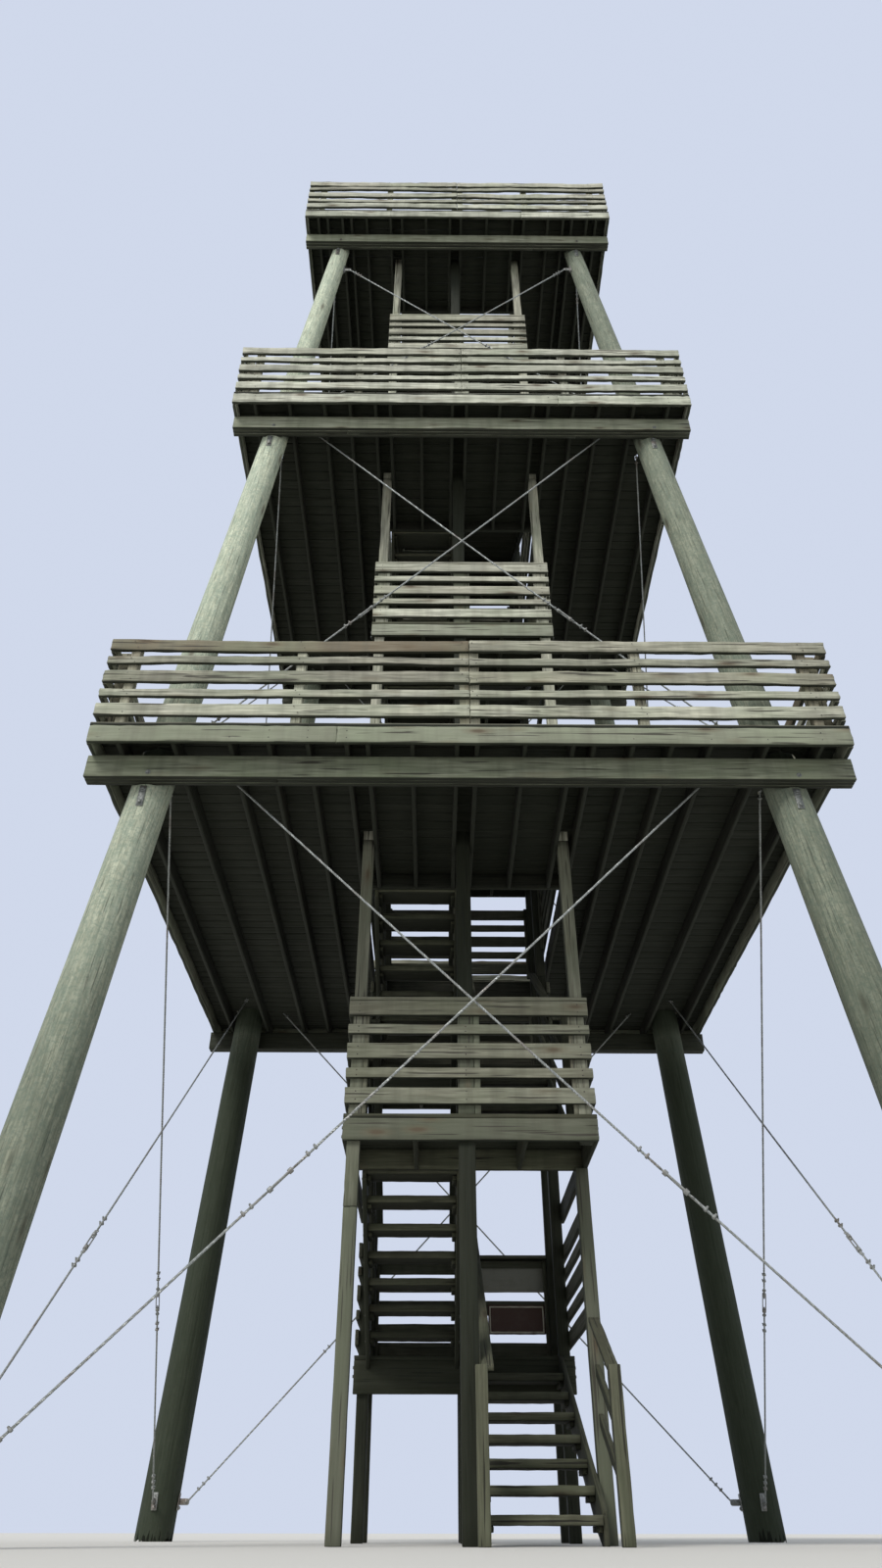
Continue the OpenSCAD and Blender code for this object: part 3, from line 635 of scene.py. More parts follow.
def modelRod(vertices, radius, depth, z, offset, segments=1, onlyTop=False):  # upright, with rounded rims
    piece = startPiece("cylinder", vertices=vertices, radius=radius, depth=depth, location=(0, 0, z))
    editMode(True)
    roundEdges(lambda a, b: abs(a.z - b.z) < 1e-4 and (a.z > 0 or not onlyTop), offset, segments)
    return finishShape(piece)


nailShape = modelNail()
boltShape = joinShapes([modelRod(6, fixing["head"], fixing["headDepth"], 0.011, 0.002, onlyTop=True),
                        modelRod(16, fixing["washer"], fixing["washerDepth"], 0.002, 0.0015, onlyTop=True)])
nails, bolts = newBag(), newBag()


def nailAt(place, normal):
    stamp(nails, nailShape, facing(place, normal), fixing["nail"])


def boltAt(place, normal, scale):
    stamp(bolts, boltShape, facing(place, normal), scale)


def mainBeams(k):
    bag = newBag()
    z = joistZ(k) - tower["beamDepth"] / 2
    inner = axisAt(z) + radiusAt(z) - tower["dap"]
    ply = (tower["beamThick"] - (deck["plies"] - 1) * deck["plyGap"]) / deck["plies"]
    end = half(k) + (tower["beamPast"] if k == 1 else 0)
    saw = deck["sawCut"]
    for sy in (-1, 1):
        for i in range(deck["plies"]):
            y0 = inner + i * (ply + deck["plyGap"])
            y1 = y0 + ply
            lowY, highY = (y0, y1) if sy > 0 else (-y1, -y0)
            joints = [[-end, 0.5 * end, end], [-end, -0.5 * end, end], [-end, end]][i]
            for x0, x1 in zip(joints, joints[1:]):
                addBoard(bag, (x0 + saw, lowY, beamZ(k)), (x1 - saw, highY, joistZ(k) - fit), 0, bow=0.5,
                         tone=dice.random() * 0.5)
        aside, drop = deck["beamBolt"]
        for sx in (-1, 1):  # a through bolt at each pole
            place = (sx * axisAt(z) + aside, sy * (inner + tower["beamThick"]), z - drop)
            boltAt(place, (0, sy, 0), fixing["frameBolt"])
    return bag


def outerJoists(k):
    first = stairOut + fit + boardT / 2
    last = cableX(k) - deck["joistOff"]
    bays = math.ceil((last - first) / deck["joistStep"])
    clear = radiusAt(joistZ(k)) + deck["joistOff"]
    return [first + (last - first) * i / bays for i in range(bays + 1)] + \
        [axisAt(joistZ(k)) - clear, axisAt(joistZ(k)) + clear]


def innerJoists():
    places = []
    for sx in (-1, 1):
        first = -stair["middleLeft"] + sx * (stair["middlePost"] / 2 + fit + boardT / 2)
        last = sx * (innerFace - fit - boardT / 2)
        places += [first + (last - first) * i / 2 for i in range(3)]
    return places


def joists(k):
    bag = newBag()
    inside = half(k) - boardT - fit
    z0, z1 = joistZ(k), deckZ(k) - boardT - fit

    def joist(x, y0, y1):
        addCentred(bag, x, boardT, y0, y1, z0, z1, 1, bow=0.4)
    for x in outerJoists(k):
        for sx in (-1, 1):
            joist(sx * x, -inside, inside)
    for y in (-frontEdge - boardT, stairBack + fit):
        addBoard(bag, (-stairOut, y, z0), (stairOut, y + boardT, z1), 0, bow=0.4)
    for x in innerJoists():
        joist(x, -inside, -frontEdge - boardT - fit)
        joist(x, stairBack + boardT + 2 * fit, inside)
    return bag


def turnPoint(x, y, turn):
    c, s = round(math.cos(turn)), round(math.sin(turn))
    return x * c - y * s, x * s + y * c


def rowEdges(low, high, rows, gap):  # both edges of each board of a floor
    pitch = (high - low) / rows
    return [(low + i * pitch + (gap if i else 0), low + (i + 1) * pitch - (gap if i < rows - 1 else 0))
            for i in range(rows)]


def floorHoles(k, low):  # round the poles and the cables: middle, half width and half depth
    if k == 3:
        return []
    axis, radius = axisAt(low), radiusAt(low) + deck["poleGap"]
    holes = [(sx * axis, sy * axis, radius, radius) for sx in (-1, 1) for sy in (-1, 1)]
    for quarter in range(4):
        for sx in (-1, 1):
            place = turnPoint(*cableAt(k, sx, low + boardT / 2), quarter * math.pi / 2)
            holes.append((*place, *(deck["cableHole"] if quarter % 2 else deck["cableHole"][::-1])))
    return holes


def floorBoards(k):
    bag = newBag()
    low, high = deckZ(k) - boardT, deckZ(k)
    reach, wellX = half(k), stairOut + fit
    gap, nailIn, butt, shortest = (deck[name] for name in ("slabGap", "nailIn", "buttGap", "shortest"))
    joistXs = sorted(s * x for x in outerJoists(k) for s in (-1, 1))
    holes = floorHoles(k, low)
    regions = [(-reach, -frontEdge, -reach, reach), (stairBack + fit, reach, -reach, reach),
               (-frontEdge + gap, stairBack + fit - gap, -reach, -wellX),
               (-frontEdge + gap, stairBack + fit - gap, wellX, reach)]
    for yLow, yHigh, xLow, xHigh in regions:
        rows = round((yHigh - yLow) / (deck["floorBoard"] + deck["floorGap"]))
        for i, (y0, y1) in enumerate(rowEdges(yLow, yHigh, rows, deck["floorGap"] / 2)):
            cuts = [(xLow, 0, 0, 0), (xHigh, 0, 0, 0)]
            for cx, cy, rx, ry in holes:
                if xLow < cx < xHigh and y0 - ry < cy < y1 + ry:
                    cuts.append((cx, cy, rx, ry))
            if xHigh - xLow > 4:  # a long row has a butt joint on a joist
                spread = [x for x in joistXs if abs(x) < deck["jointReach"] * reach
                          and all(abs(x - c[0]) > deck["jointClear"] for c in cuts)]
                cuts.append((spread[(i * 5 + k) % len(spread)], y0, 0, 0))
            cuts.sort()
            for a, b in zip(cuts, cuts[1:]):
                if b[0] - b[2] - a[0] - a[2] < shortest:
                    continue

                def cutEnds(pos, a=a, b=b):
                    def reachOf(c):
                        if not c[2]:
                            return np.full(len(pos), butt if xLow < c[0] < xHigh else 0.0)
                        inside = np.clip(1 - ((pos[:, 1] - c[1]) / c[3]) ** 2, 0, 1)
                        return np.maximum(np.sqrt(inside) * c[2], butt)
                    return a[0] + reachOf(a), b[0] - reachOf(b)
                addBoard(bag, (a[0], y0, low), (b[0], y1, high), 0, ends=cutEnds, bow=0.6)
                for x in joistXs:
                    if a[0] + shortest < x < b[0] - shortest and all(abs(x - c[0]) > c[2] + nailIn for c in cuts):
                        for y in (y0 + nailIn, y1 - nailIn):
                            nailAt((x, y, high), (0, 0, 1))
    return bag


def railRows(base):  # lower edge, upper edge and height of each rail board, from the top
    return [(base + top - height, base + top, height) for top, height in zip(railTops, railHeights)]


def deckRail(k, turn, isSide):
    bag = newBag()
    end, endX = half(k) - (boardT + fit if isSide else 0), half(k) - deck["postInset"]
    midX, butt, spread = (deck["post"] + deck["slabGap"]) / 2, deck["buttGap"], deck["toneSpread"]
    y0, base = -half(k), deckZ(k) - boardT
    postXs = (-endX, -endX / 2, -midX, midX, endX / 2, endX)

    def nailFront(x, z):
        nailAt((*turnPoint(x, y0, turn), z), (*turnPoint(0, -1, turn), 0))
    for row, (low, high, height) in enumerate(railRows(base)):
        for right, (x0, x1) in enumerate(((-end, -butt), (butt, end))):
            tone = deck["tones"][k - 1][row][right] + dice.uniform(-spread, spread)
            addBoard(bag, (x0, y0, low), (x1, y0 + boardT, high), 0, bow=deck["railBow"], tone=tone)
        for x in postXs:
            for s in (-1, 1):
                nailFront(x + deck["nailAside"] * s, high - height * (0.5 + deck["nailShare"] * s))
    for x in postXs:
        addCentred(bag, x, deck["post"], y0 + boardT, y0 + boardT + deck["post"], base + boardT,
                   base + railHeight - deck["slabGap"], 2)
    joint = dice.choice(deck["rimJoints"]) * end
    for x0, x1 in ((-end, joint - deck["sawCut"]), (joint + deck["sawCut"], end)):
        addBoard(bag, (x0, y0, base - joistH), (x1, y0 + boardT, base - fit), 0, bow=deck["rimBow"],
                 tone=dice.uniform(*deck["rimTones"][k - 1]))
    for x in outerJoists(k):
        for s in (-1, 1):
            for dz in deck["rimNails"]:
                nailFront(s * x, base - dz)
    c, s = round(math.cos(turn)), round(math.sin(turn))
    bag["co"] = [co @ np.array([[c, s, 0], [-s, c, 0], [0, 0, 1]]) for co in bag["co"]]
    return bag


for k in (1, 2, 3):
    # painted shade: the first deck takes the darker copies of the beam and board wood
    makePiece(mainBeams(k), f"mainBeams{k}", [f"main_beams_{k}"], beamWood if k == 1 else upperBeamWood)
    makePiece(joists(k), f"joists{k}", [f"joists_{k}"], shadedWood)
    makePiece(floorBoards(k), f"floorBoards{k}", [f"floor_{k}"], floorWood)
    for side, turn in (("front", 0.0), ("back", math.pi), ("left", -math.pi / 2), ("right", math.pi / 2)):
        makePiece(deckRail(k, turn, side in ("left", "right")), f"rail{side.title()}{k}", [f"rail_{side}_{k}"],
                  boardWood if k == 1 else upperBoardWood)
print("decks laid")


# Stair tower: posts, flights, landings, railings and handrails
def stairPosts():
    lower, middle, upper = newBag(), newBag(), newBag()
    topFloor, frameLow = deckZ(3) - boardT, landingZ(1, 2) - boardT - joistH - fit
    side, post, saw = stair["half"], stair["post"], deck["sawCut"]

    def tall(x, y, thick, z0, z1, joints):
        least = stair["shortest"]
        cuts = [z0] + [z for z in joints if z0 + least < z < z1 - least] + [z1]
        outer = y < 0 and abs(x) == side
        for a, b in zip(cuts, cuts[1:]):
            behindRail = any(abs(a - landingZ(k, 2)) < 0.01 for k in (1, 2, 3))
            tone = stair["wetAndShadeTone" if behindRail else "middleTone" if thick > post else "postTone"]
            # painted shade: outer front posts take the pale board wood high up, posts behind landing rails and outer
            # front posts from the middle height the shaded rail wood, and the rest the darkest post wood
            bag = lower
            if outer and a > stair["upperFrom"]:
                bag = upper
            elif outer and a > stair["middleFrom"] or behindRail:
                bag = middle
            addPost(bag, x, y, thick, a + saw, b - saw, tone)
    for y in (innerRow, backRow):
        for x in (-side, 0, side):
            tall(x, y, post, 0, topFloor + railHeight,
                 [deckZ(k) - stair["jointDrop"] + stair["jointShift"] * (x > 0) for k in (1, 2, 3)])
    frontJoints = [deckZ(k) - stair["frontDrop"] for k in (1, 2)]
    addPost(middle, -side, frontRow, post, saw, stair["seam"] - 2 * saw, stair["frontTone"])
    tall(-side, frontRow, post, stair["seam"], topFloor, [frameLow + 0.1] + frontJoints)
    tall(side, frontRow, post, frameLow, topFloor, frontJoints)
    addPost(middle, setbackX, edgeRow, post, saw, frameLow, stair["frontTone"])
    tall(-stair["middleLeft"], middleRow, stair["middlePost"], 0, topFloor,
         [landingZ(k, 2) + dz for k in (1, 2, 3) for dz in (0, railHeight)])
    for k in (1, 2, 3):  # a cleat beside the middle post joins the landing rail's boards
        inset, width = stair["jointCleat"]
        x, y, z = postHalf - inset, boardT + fit - stairFront, landingZ(k, 2)
        addBoard(middle, (x, y, z + deck["slabGap"]), (x + width, y + cleat, z + railHeight - boardT), 2,
                 bow=0.3, tone=stair["cleatTone"])
    return lower, middle, upper


def flightFoot(k, n):
    if n % 2 == 0:
        return stair["backEdge"]
    return stair["backEdge"] - (tower["risers"] - 1) * tower["firstGoing"] if k == n == 1 else -frontEdge


def flightGoing(k, n):
    return tower["firstGoing"] if k == n == 1 else tower["going"]


def flight(k, n):
    bag = newBag()
    going, width, right = flightGoing(k, n), stair["flightWidth"], n % 2 == 1
    run, slope = (tower["risers"] - 1) * going, riser / going
    foot, base = flightFoot(k, n), landingZ(k, n - 1)
    flightX = postHalf + deck["slabGap"]
    cleatStart, cleatEnd, cleatDepth = stair["treadCleat"]
    x0 = flightX if right else -flightX - width

    def yPair(a, b):
        return (foot + a, foot + b) if right else (foot - b, foot - a)
    y0, y1 = yPair(0, run - fit)
    top = base + (riser + stair["over"]) + (0 if right else slope * (run - fit))
    for dx in (0, width - boardT):
        addBoard(bag, (x0 + dx, y0, top - stair["stringer"]), (x0 + dx + boardT, y1, top), 1, bow=0.2,
                 slope=slope if right else -slope, limit=(base if k == n == 1 else -1e3, base + tower["flightRise"]))
    for i in range(1, tower["risers"]):
        y0, y1 = yPair((i - 1) * going - stair["nosing"], i * going - deck["slabGap"])
        z = base + i * riser
        under = z - stair["tread"]
        addBoard(bag, (x0 + boardT + fit, y0, under), (x0 + width - boardT - fit, y1, z), 0, bow=0.3, tone=0.1)
        for x, face, sx in ((x0 + boardT + fit, x0, -1), (x0 + width - 2 * boardT - fit, x0 + width, 1)):
            addBoard(bag, (x, y0 + cleatStart, under - cleatDepth),  # carries the tread
                     (x + boardT, y1 - cleatEnd, under - fit), 1)
            for dy in stair["treadBolts"]:
                boltAt((face, y0 + dy, under - cleatDepth / 2), (sx, 0, 0), fixing["treadBolt"])
    return bag


def landings(k):
    frames, rims = newBag(), newBag()
    sideX = stairOut - boardT
    for n in (1, 2, 3):
        front = n == 2
        y0, y1 = (-stairFront, -frontEdge) if front else (stair["backEdge"], stairBack)
        z = landingZ(k, n)
        top = z - boardT - fit
        low = top - joistH
        for a, b in rowEdges(y0, y1, stair["landingRows"], stair["landingGap"]):
            addBoard(frames, (-stairOut, a, z - boardT), (stairOut, b, z), 0, bow=0.5)
            for x in (-stair["nailX"], stair["nailX"]):
                for y in (a + deck["nailIn"], b - deck["nailIn"]):
                    nailAt((x, y, z), (0, 0, 1))
        addBoard(rims if front else frames, (-stairOut, y0, low if front else top - stair["header"]),
                 (stairOut, y0 + boardT, top), 0, bow=0.5, tone=stair["rimTone" if front else "headerTone"])
        addBoard(frames, (fit - sideX, y1 - boardT, low), (sideX, y1, top), 0, bow=0.3)
        far = innerRow + postHalf if front else y1
        for sx in (-1, 1):
            addCentred(frames, sx * innerFace / 2, boardT, y0 + boardT + fit, y1 - boardT - fit, low, top, 1, bow=0.3)
            beamX = sideX + fit if sx > 0 else -stairOut
            addBoard(frames, (beamX, y0 + boardT + fit, low), (beamX + boardT - fit, far, top), 1, bow=0.3)
            for y in (frontRow, innerRow) if front else (innerRow, backRow):
                for dz in stair["frameBolts"]:
                    boltAt((sx * stairOut, y, top - dz), (sx, 0, 0), fixing["frameBolt"])
    return frames, rims


def endBoards(bag, front, z, cap):
    outer, ySign = (stairFront, -1) if front else (stairBack, 1)
    base = z - boardT

    def yPair(a, b):  # depths from the outer face inwards
        return (-outer + a, -outer + b) if front else (outer - b, outer - a)
    y0, y1 = yPair(0, boardT)
    for low, high, height in railRows(base):
        addBoard(bag, (-stairOut, y0, low), (stairOut, y1, high), 0)
        for x in (-stair["half"], -stair["middleLeft"] if front else 0, stair["half"]):
            for dz in stair["endNails"]:
                nailAt((x, ySign * outer, high - height * dz), (0, ySign, 0))
    cleatX = innerFace - fit - cleat / 2
    for x in (-cleatX, cleatX):
        addCentred(bag, x, cleat, *yPair(boardT, boardT + cleat), base + boardT, base + railHeight, 2)
    if cap:
        y0, y1 = yPair(0, stair["cap"])
        addBoard(bag, (-stairOut, y0, base + railHeight), (stairOut, y1, base + railHeight + boardT), 0)


def sideBoards(bag, sx, y0, y1, z, cleatY):
    x0 = stairOut - boardT + fit if sx > 0 else -stairOut
    base = z - boardT - fit
    for low, high, _ in railRows(base):
        addBoard(bag, (x0, y0, low), (x0 + boardT - fit, y1, high), 1)
    x = x0 - cleat if sx > 0 else x0 + boardT - fit
    addBoard(bag, (x, cleatY, base + boardT), (x + cleat, cleatY + cleat, base + railHeight), 2)


def landingRails(k):
    bag = newBag()
    end = stairBack - boardT - fit
    for n in (1, 3):
        endBoards(bag, False, landingZ(k, n), True)
        for sx in (-1, 1):
            toSetback = k == 1 and n == 1 and sx > 0
            start = edgeRow + postHalf + fit if toSetback else stair["backEdge"]
            sideBoards(bag, sx, start, end, landingZ(k, n), innerRow + postHalf + fit)
    endBoards(bag, True, landingZ(k, 2), True)
    for sx in (-1, 1):
        sideBoards(bag, sx, -stairFront + boardT + fit, -frontEdge, landingZ(k, 2), frontRow + postHalf + fit)
        sideBoards(bag, sx, edgeRow - postHalf, end, deckZ(k), innerRow - postHalf - fit - cleat)
    endBoards(bag, False, deckZ(k), False)
    if k == 3:  # the closed right half of the highest stair opening
        y0, base = edgeRow - postHalf - fit - boardT, deckZ(k) - boardT
        middle = stair["half"] / 2
        for low, high, _ in railRows(base):
            addCentred(bag, middle, stair["half"] + stair["post"], y0, y0 + boardT, low, high, 0)
        cleatX = (innerFace - postHalf - cleat) / 2 - fit
        for x in (middle - cleatX, middle + cleatX):
            addCentred(bag, x, cleat, y0 + boardT, y0 + boardT + cleat, base + boardT, base + railHeight, 2)
    return bag


def handrails(k):
    bag = newBag()
    inX, outX = postHalf + fit, innerFace - fit
    handTop, wide = stair["handHeight"], deck["post"]
    for n in (1, 2, 3, 4):
        sx = 1 if n % 2 == 1 else -1
        slope = sx * riser / flightGoing(k, n)
        first = k == n == 1
        noseY = flightFoot(k, n) - sx * stair["nosing"]
        y0 = newelY + wide / 2 + fit if first else edgeRow - postHalf
        z0 = landingZ(k, n - 1) + riser + (y0 - noseY) * slope

        def sloped(x, width, stop, low, high):
            addBoard(bag, (x, y0, z0 + low), (x + width, stop, z0 + high), 1, slope=slope, bow=0.4)

        def handBoards(x, way, stop, capX):
            sloped(capX, wide, stop, handTop - boardT, handTop)
            for i in (1, 2):
                high = handTop - i * stair["handStep"]
                sloped(x if way > 0 else x - boardT, boardT, stop, high - deck["narrow"], high)
        handBoards(sx * inX, sx, innerRow + postHalf, inX if sx > 0 else -inX - wide)
        if first:
            handBoards(setbackX - boardT / 2, 1, edgeRow - postHalf - fit, setbackX - wide / 2)
        else:
            handBoards(sx * outX, -sx, innerRow + postHalf, outX - wide if sx > 0 else -outX)
    for x in (-stair["half"], 0, stair["half"]):
        for z, step in ((landingZ(k, 2), riser), (deckZ(k), riser if k < 3 else riser / 2)):
            addPost(bag, x, edgeRow, stair["post"], z, z + (step + handTop))
    if k == 1:
        newelH = riser + handTop + (newelY + wide / 2 + fit - flightFoot(1, 1) + stair["nosing"]) * riser \
            / tower["firstGoing"]
        for x in (postHalf + fit + boardT - wide / 2, setbackX):
            addPost(bag, x, newelY, wide, 0, newelH)
    return bag


lowerPosts, middlePosts, upperPosts = stairPosts()
makePiece(lowerPosts, "stairPosts", ["stair_posts"], postWood)
makePiece(middlePosts, "stairPostsMiddle", [], railWood)
makePiece(upperPosts, "stairPostsUpper", [], boardWood)
for k in (1, 2, 3):
    for n in (1, 2, 3, 4):
        makePiece(flight(k, n), f"flight{k}{n}", [f"flight_{k}_{n}"], stairWood)
    # painted shade: the first storey's guards take the shaded rail wood, the upper ones the pale board wood
    guardWood = railWood if k == 1 else upperBoardWood
    frames, rims = landings(k)
    makePiece(frames, f"landings{k}", [f"landings_{k}"], stairWood)
    makePiece(rims, f"landingRims{k}", [], guardWood)
    makePiece(landingRails(k), f"landingRails{k}", [f"landing_rails_{k}"], guardWood)
    makePiece(handrails(k), f"handrails{k}", [f"handrails_{k}"], stairWood)
print("stair built")


# Bracing: wire rope with turnbuckles, clips and bolted ears
def modelRope():
    piece = startPiece("circle", vertices=12, radius=1)
    editMode(True)
    pickPoints(lambda co: round(math.degrees(math.atan2(co.y, co.x)) / 30) % 2 == 1)
    bpy.ops.transform.resize(value=(0.8, 0.8, 1), center_override=(0, 0, 0))
    editMode(False)
    applyModifier(piece, "SCREW", axis="Z", angle=math.tau * brace["turns"], screw_offset=1.0,
                  steps=brace["ropeSteps"], render_steps=brace["ropeSteps"], use_merge_vertices=False)
    editMode(True)
    closeEnds(2)
    return finishShape(piece)


buckle = {  # places along the body are shares of its length
    "barX": 0.0155, "bar": (0.009, 0.013), "barLength": 0.62, "hubs": (0.2, 0.8), "hub": (0.020, 0.034),
    "screws": ((0.06, 0.34), (0.66, 0.94)), "screw": 0.008, "eyes": (0.035, 0.965), "eye": (0.015, 0.0055),
    "barWorn": 0.003, "hubWorn": 0.004, "screwWorn": 0.002,
}


def modelBuckle():  # an open turnbuckle body along Z with its screws and eyes
    body, shapes = brace["buckleLength"], []
    for sx in (-1, 1):
        piece = startPiece("cube", size=1, location=(sx * buckle["barX"], 0, body / 2))
        editMode(True)
        bpy.ops.transform.resize(value=(*buckle["bar"], body * buckle["barLength"]))
        roundEdges(lambda a, b: abs(a.z - b.z) > 0.1, buckle["barWorn"], 2)
        shapes.append(finishShape(piece))
    for end in buckle["hubs"]:
        shapes.append(modelRod(16, *buckle["hub"], body * end, buckle["hubWorn"], 2))
    for low, high in buckle["screws"]:
        shapes.append(modelRod(12, buckle["screw"], body * (high - low), body * (low + high) / 2,
                               buckle["screwWorn"]))
    for end in buckle["eyes"]:
        piece = startPiece("torus", major_radius=buckle["eye"][0], minor_radius=buckle["eye"][1], major_segments=16,
                           minor_segments=8, location=(0, 0, body * end), rotation=(math.pi / 2, 0, 0))
        shapes.append(finishShape(piece))
    return joinShapes(shapes)


clip = {"saddle": (0.036, 0.026, 0.020), "worn": 0.004, "nut": 0.007, "nutDepth": 0.012, "nutAt": (0.012, 0.017)}


def modelClip():  # a rope clip: a saddle with the two nuts of its bow
    piece = startPiece("cube", size=1)
    editMode(True)
    bpy.ops.transform.resize(value=clip["saddle"])
    bpy.ops.mesh.bevel(offset=clip["worn"], segments=2, affect="EDGES")
    shapes, (x, y) = [finishShape(piece)], clip["nutAt"]
    for sx in (-1, 1):
        shapes.append(finishShape(startPiece("cylinder", vertices=6, radius=clip["nut"], depth=clip["nutDepth"],
                                             location=(sx * x, y, 0), rotation=(math.pi / 2, 0, 0))))
    return joinShapes(shapes)


def modelPlate(width, height, corner):  # a plate in the XY plane with rounded corners
    thick = brace["plateT"]
    piece = startPiece("cube", size=1, location=(0, 0, thick / 2), scale=(width, height, thick))
    bpy.ops.object.transform_apply(location=True, scale=True)
    editMode(True)
    roundEdges(lambda a, b: abs(a.z - b.z) > thick * 0.5, corner, 4)
    roundEdges(lambda a, b: a.z > thick * 0.5 and b.z > thick * 0.5, brace["plateWorn"])
    return finishShape(piece)


ropeShape, buckleShape, clipShape = modelRope(), modelBuckle(), modelClip()
plateShape = modelPlate(brace["plateW"], brace["plateH"], brace["plateCorner"])
earShape = modelPlate(brace["ear"] + brace["earOver"], brace["earH"], brace["earCorner"])


def layRope(bag, spin, a, b, sagStart, whole):
    span, radius = b - a, brace["rope"] / 2
    m = np.array(facing((0, 0, 0), span.normalized()))[:3, :3]
    t = ropeShape["co"]
    share = t[:, 2]
    co = np.stack([t[:, 0] * radius, t[:, 1] * radius, share * 0], 1) @ m.T
    co += np.array(a) + np.outer(share, np.array(span))
    spot = (sagStart + share * span.length) / whole
    co[:, 2] -= 4 * spot * (1 - spot) * brace["sag"]
    grain = np.stack([share * span.length, t[:, 0] * radius, t[:, 1] * radius], 1)
    fill(bag, ropeShape, co @ np.array(spin)[:3, :3].T, grain, 0.5)


def boltPlate(metal, spin, z, side, y):  # the plate, the ear and the pin at one end of a cable
    face, lean, thick = axisAt(z) - radiusAt(z) - fit, math.atan(tower["poleLean"]), brace["plateT"]
    normal = Vector((-side * math.cos(lean), 0, -math.sin(lean)))
    stamp(metal, plateShape, spin @ facing(Vector((side * face, y, z)), normal))
    for dz in (-brace["plateBolts"], brace["plateBolts"]):
        place = Vector((side * (face - thick + dz * tower["poleLean"]), y, z + dz))
        stamp(metal, boltShape, spin @ facing(place, normal), fixing["plateBolt"])
    middle = side * (earX(z) + (face - earX(z)) / 2 - brace["earSet"])
    ear = Matrix.Translation((middle, y - thick / 2, z)) @ Matrix.Rotation(-math.pi / 2, 4, "X")
    stamp(metal, earShape, spin @ ear)
    pin = Vector((side * (earX(z) + brace["pinIn"]), y, z))
    for s in (-1, 1):
        stamp(metal, boltShape, spin @ facing(pin + Vector((0, s * thick / 2, 0)), (0, s, 0)), fixing["pinBolt"])


def bracing(k):
    wire, metal = newBag(), newBag()
    start, stop = brace["buckleAt"], brace["buckleAt"] + brace["buckleLength"]
    over, ends, besides = brace["buckleOver"], brace["endClips"], brace["buckleClips"]
    for quarter in range(4):
        spin = Matrix.Rotation(quarter * math.pi / 2, 4, "Z")
        for sx in (-1, 1):
            low, high = (Vector((side * (earX(z) + brace["earIn"]), sx * crossGap - axisAt(z), z))
                         for z, side in ((lowZ(k), sx), (highZ(k), -sx)))
            boltPlate(metal, spin, low.z, sx, low.y)
            boltPlate(metal, spin, high.z, -sx, high.y)
            whole = (high - low).length
            along = (high - low) / whole

            def onRope(distance, sagFrom):
                spot = sagFrom / whole
                sag = Vector((0, 0, -4 * spot * (1 - spot) * brace["sag"]))
                return spin @ facing(low + along * distance + sag, along)
            layRope(wire, spin, low, low + along * (start + over), 0, whole)
            layRope(wire, spin, low + along * (stop - over), high, stop, whole)
            stamp(metal, buckleShape, onRope(start, start + 0.2))
            for distance in (*ends, *(start - d for d in besides), *(stop + d for d in besides),
                             *(whole - d for d in ends[::-1])):
                stamp(metal, clipShape, onRope(distance, distance))
    return wire, metal


for k in (1, 2, 3):
    wire, metal = bracing(k)
    makePiece(wire, f"wireRope{k}", [f"bracing_{k}"], wireZinc, smooth=True)
    makePiece(metal, f"ropeFittings{k}", [], fittingZinc, smooth=True)

# Straps on the poles under the beams
strap = {"width": 0.060, "height": 0.230, "corner": 0.006, "drop": 0.115, "gap": 0.020, "bolts": 0.075}
strapShape, straps, lean = modelPlate(strap["width"], strap["height"], strap["corner"]), newBag(), tower["poleLean"]
for k in (1, 2, 3):
    z = beamZ(k) - strap["drop"] - strap["gap"]
    for sx in (-1, 1):
        for sy in (-1, 1):
            normal = Vector((0, sy, lean)).normalized()
            place = Vector((sx * axisAt(z), sy * (axisAt(z) + radiusAt(z) * trunk["slim"]), z))
            stamp(straps, strapShape, facing(place, normal))
            for dz in (-strap["bolts"], strap["bolts"]):
                offset = Vector((0, sy * (brace["plateT"] - dz * lean), dz))
                stamp(straps, boltShape, facing(place + offset, normal))
makePiece(straps, "poleStraps", ["pole_straps"], plateZinc)
makePiece(bolts, "boltHeads", [], plateZinc)
makePiece(nails, "nailHeads", [], nailZinc, smooth=True)
print("steel fitted")

# Two bare boards on the first landing's railing
notice = {
    "upper": (0.745, 0.237, 0.081), "lower": (0.610, 0.284, 0.442), "thick": 0.012,  # width, height and drop
    "border": 0.013, "borderIn": 0.014, "borderProud": 0.0025, "borderThick": 0.004,
}


def paintedBoard(name, paint, faded, bare, wear):
    r = Recipe(bpy.data.materials.new(name))
    worn = r.remap(r.noise(r.objectPlace(), scale=9, detail=4, roughness=0.7), 0.5, 0.72)
    grainy = r.noise(r.place(r.attribute("grain"), (4, 60, 60)), detail=3)
    colour = r.cover(r.blend(r.remap(grainy, 0.3, 0.7, 0.0, 0.5), paint, faded), worn, wear, bare)
    return r.finish(colour, r.remap(grainy, 0.3, 0.7, 0.5, 0.75), grainy, 0.25, 0.0015)


greyPaint = paintedBoard("greyPaint", (0.20, 0.205, 0.175), (0.25, 0.25, 0.21), (0.13, 0.12, 0.09), 0.4)
brownPaint = paintedBoard("brownPaint", (0.062, 0.030, 0.022), (0.085, 0.045, 0.032), (0.10, 0.08, 0.06), 0.3)
palePaint = paintedBoard("palePaint", (0.62, 0.60, 0.50), (0.50, 0.48, 0.40), (0.14, 0.10, 0.07), 0.4)
right, railY = innerFace - cleat - 2 * fit, stairBack - boardT - fit
noticeY = railY - notice["thick"]


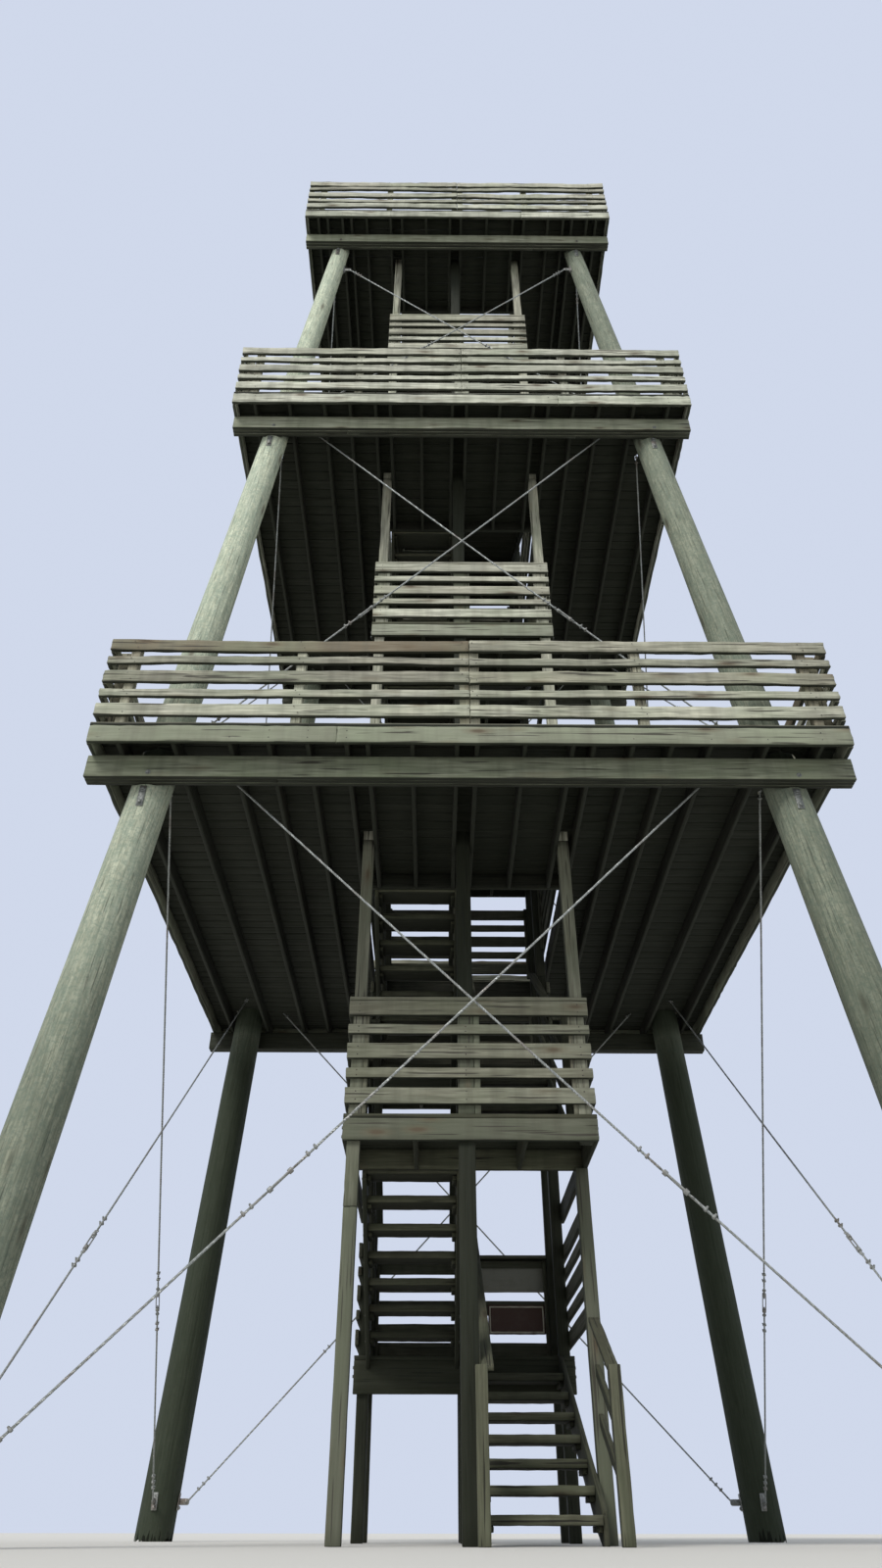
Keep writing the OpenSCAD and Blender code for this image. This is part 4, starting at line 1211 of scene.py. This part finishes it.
def hangNotice(which, bow):
    width, height, drop = notice[which]
    bag, left, top = newBag(), right - width, landingZ(1, 1) - boardT + railHeight - drop
    addBoard(bag, (left, noticeY, top - height), (right, railY, top), 0, bow=bow)
    return bag, left, top - height, top


upper = hangNotice("upper", 0.5)[0]
lower, left, bottom, top = hangNotice("lower", 0.2)
border, inset, strip = newBag(), notice["borderIn"], notice["border"]
x0, x1, z0, z1, y0 = left + inset, right - inset, bottom + inset, top - inset, noticeY - notice["borderProud"]
for xLow, xHigh, zLow, zHigh, along in ((x0, x1, z1 - strip, z1, 0), (x0, x1, z0, z0 + strip, 0),
                                        (x0, x0 + strip, z0, z1, 2), (x1 - strip, x1, z0, z1, 2)):
    addBoard(border, (xLow, y0, zLow), (xHigh, y0 + notice["borderThick"], zHigh), along, bow=0)
makePiece(upper, "noticeUpper", [], greyPaint)
makePiece(lower, "noticeLower", ["notice_boards"], brownPaint)
makePiece(border, "noticeBorder", [], palePaint)
print("notice boards hung")

# Floor, light and camera
studio = {
    "floor": (0.62, 0.61, 0.58), "sky": (0.63, 0.69, 0.83), "skyTint": (0.92, 0.96, 1.0), "skyLight": 0.62,
    "sun": 2.3, "sunTint": (1.0, 0.97, 0.92), "sunAngle": 22, "sunFrom": (-0.55, -0.9, 1.05),
}
floor = startPiece("plane", size=400)
floor.name = "studioFloor"
r = Recipe(bpy.data.materials.new("paleFloor"))
r.feed(r.nodes["Principled BSDF"].inputs["Base Color"], studio["floor"])
r.feed(r.nodes["Principled BSDF"].inputs["Roughness"], 0.9)
floor.data.materials.append(r.owner)

scene = bpy.context.scene
scene.world = bpy.data.worlds.new("softSky")
r = Recipe(scene.world)
r.nodes.clear()
light = r.add("Background", {"Color": studio["skyTint"], "Strength": studio["skyLight"]})
shown = r.add("Background", {"Color": studio["sky"], "Strength": 1.0})
ray = r.add("LightPath", {}).node.outputs
seen = r.math("MAXIMUM", ray["Is Camera Ray"], ray["Is Glossy Ray"])
r.links.new(r.add("MixShader", {0: seen, 1: light, 2: shown}), r.nodes.new("ShaderNodeOutputWorld").inputs[0])

sun = bpy.data.lights.new("softSun", "SUN")
sun.energy, sun.angle, sun.color = studio["sun"], math.radians(studio["sunAngle"]), studio["sunTint"]
sunPiece = bpy.data.objects.new("softSun", sun)
scene.collection.objects.link(sunPiece)
sunPiece.rotation_mode = "QUATERNION"
sunPiece.rotation_quaternion = Vector(studio["sunFrom"]).to_track_quat("Z", "Y")

photoView = {"place": (-0.301, -10.334, 0.0775), "pitch": 36.472, "yaw": 0.324, "roll": 0.077, "lens": 23.266}
camera = bpy.data.cameras.new("photoView")
camera.sensor_fit, camera.sensor_width, camera.lens = "AUTO", 36, photoView["lens"]
camera.clip_start, camera.clip_end = 0.05, 1000
cameraPiece = bpy.data.objects.new("photoView", camera)
scene.collection.objects.link(cameraPiece)
pitch, yaw, roll = (math.radians(photoView[name]) for name in ("pitch", "yaw", "roll"))
ahead = Vector((math.sin(yaw) * math.cos(pitch), math.cos(yaw) * math.cos(pitch), math.sin(pitch)))
level = Vector((math.cos(yaw), -math.sin(yaw), 0))
rise = level.cross(ahead)
across = level * math.cos(roll) + rise * math.sin(roll)
upright = rise * math.cos(roll) - level * math.sin(roll)
cameraPiece.matrix_world = Matrix.Translation(photoView["place"]) @ \
    Matrix((across, upright, -ahead)).transposed().to_4x4()
scene.camera = cameraPiece
scene.view_settings.view_transform = "Standard"

print("stage set")
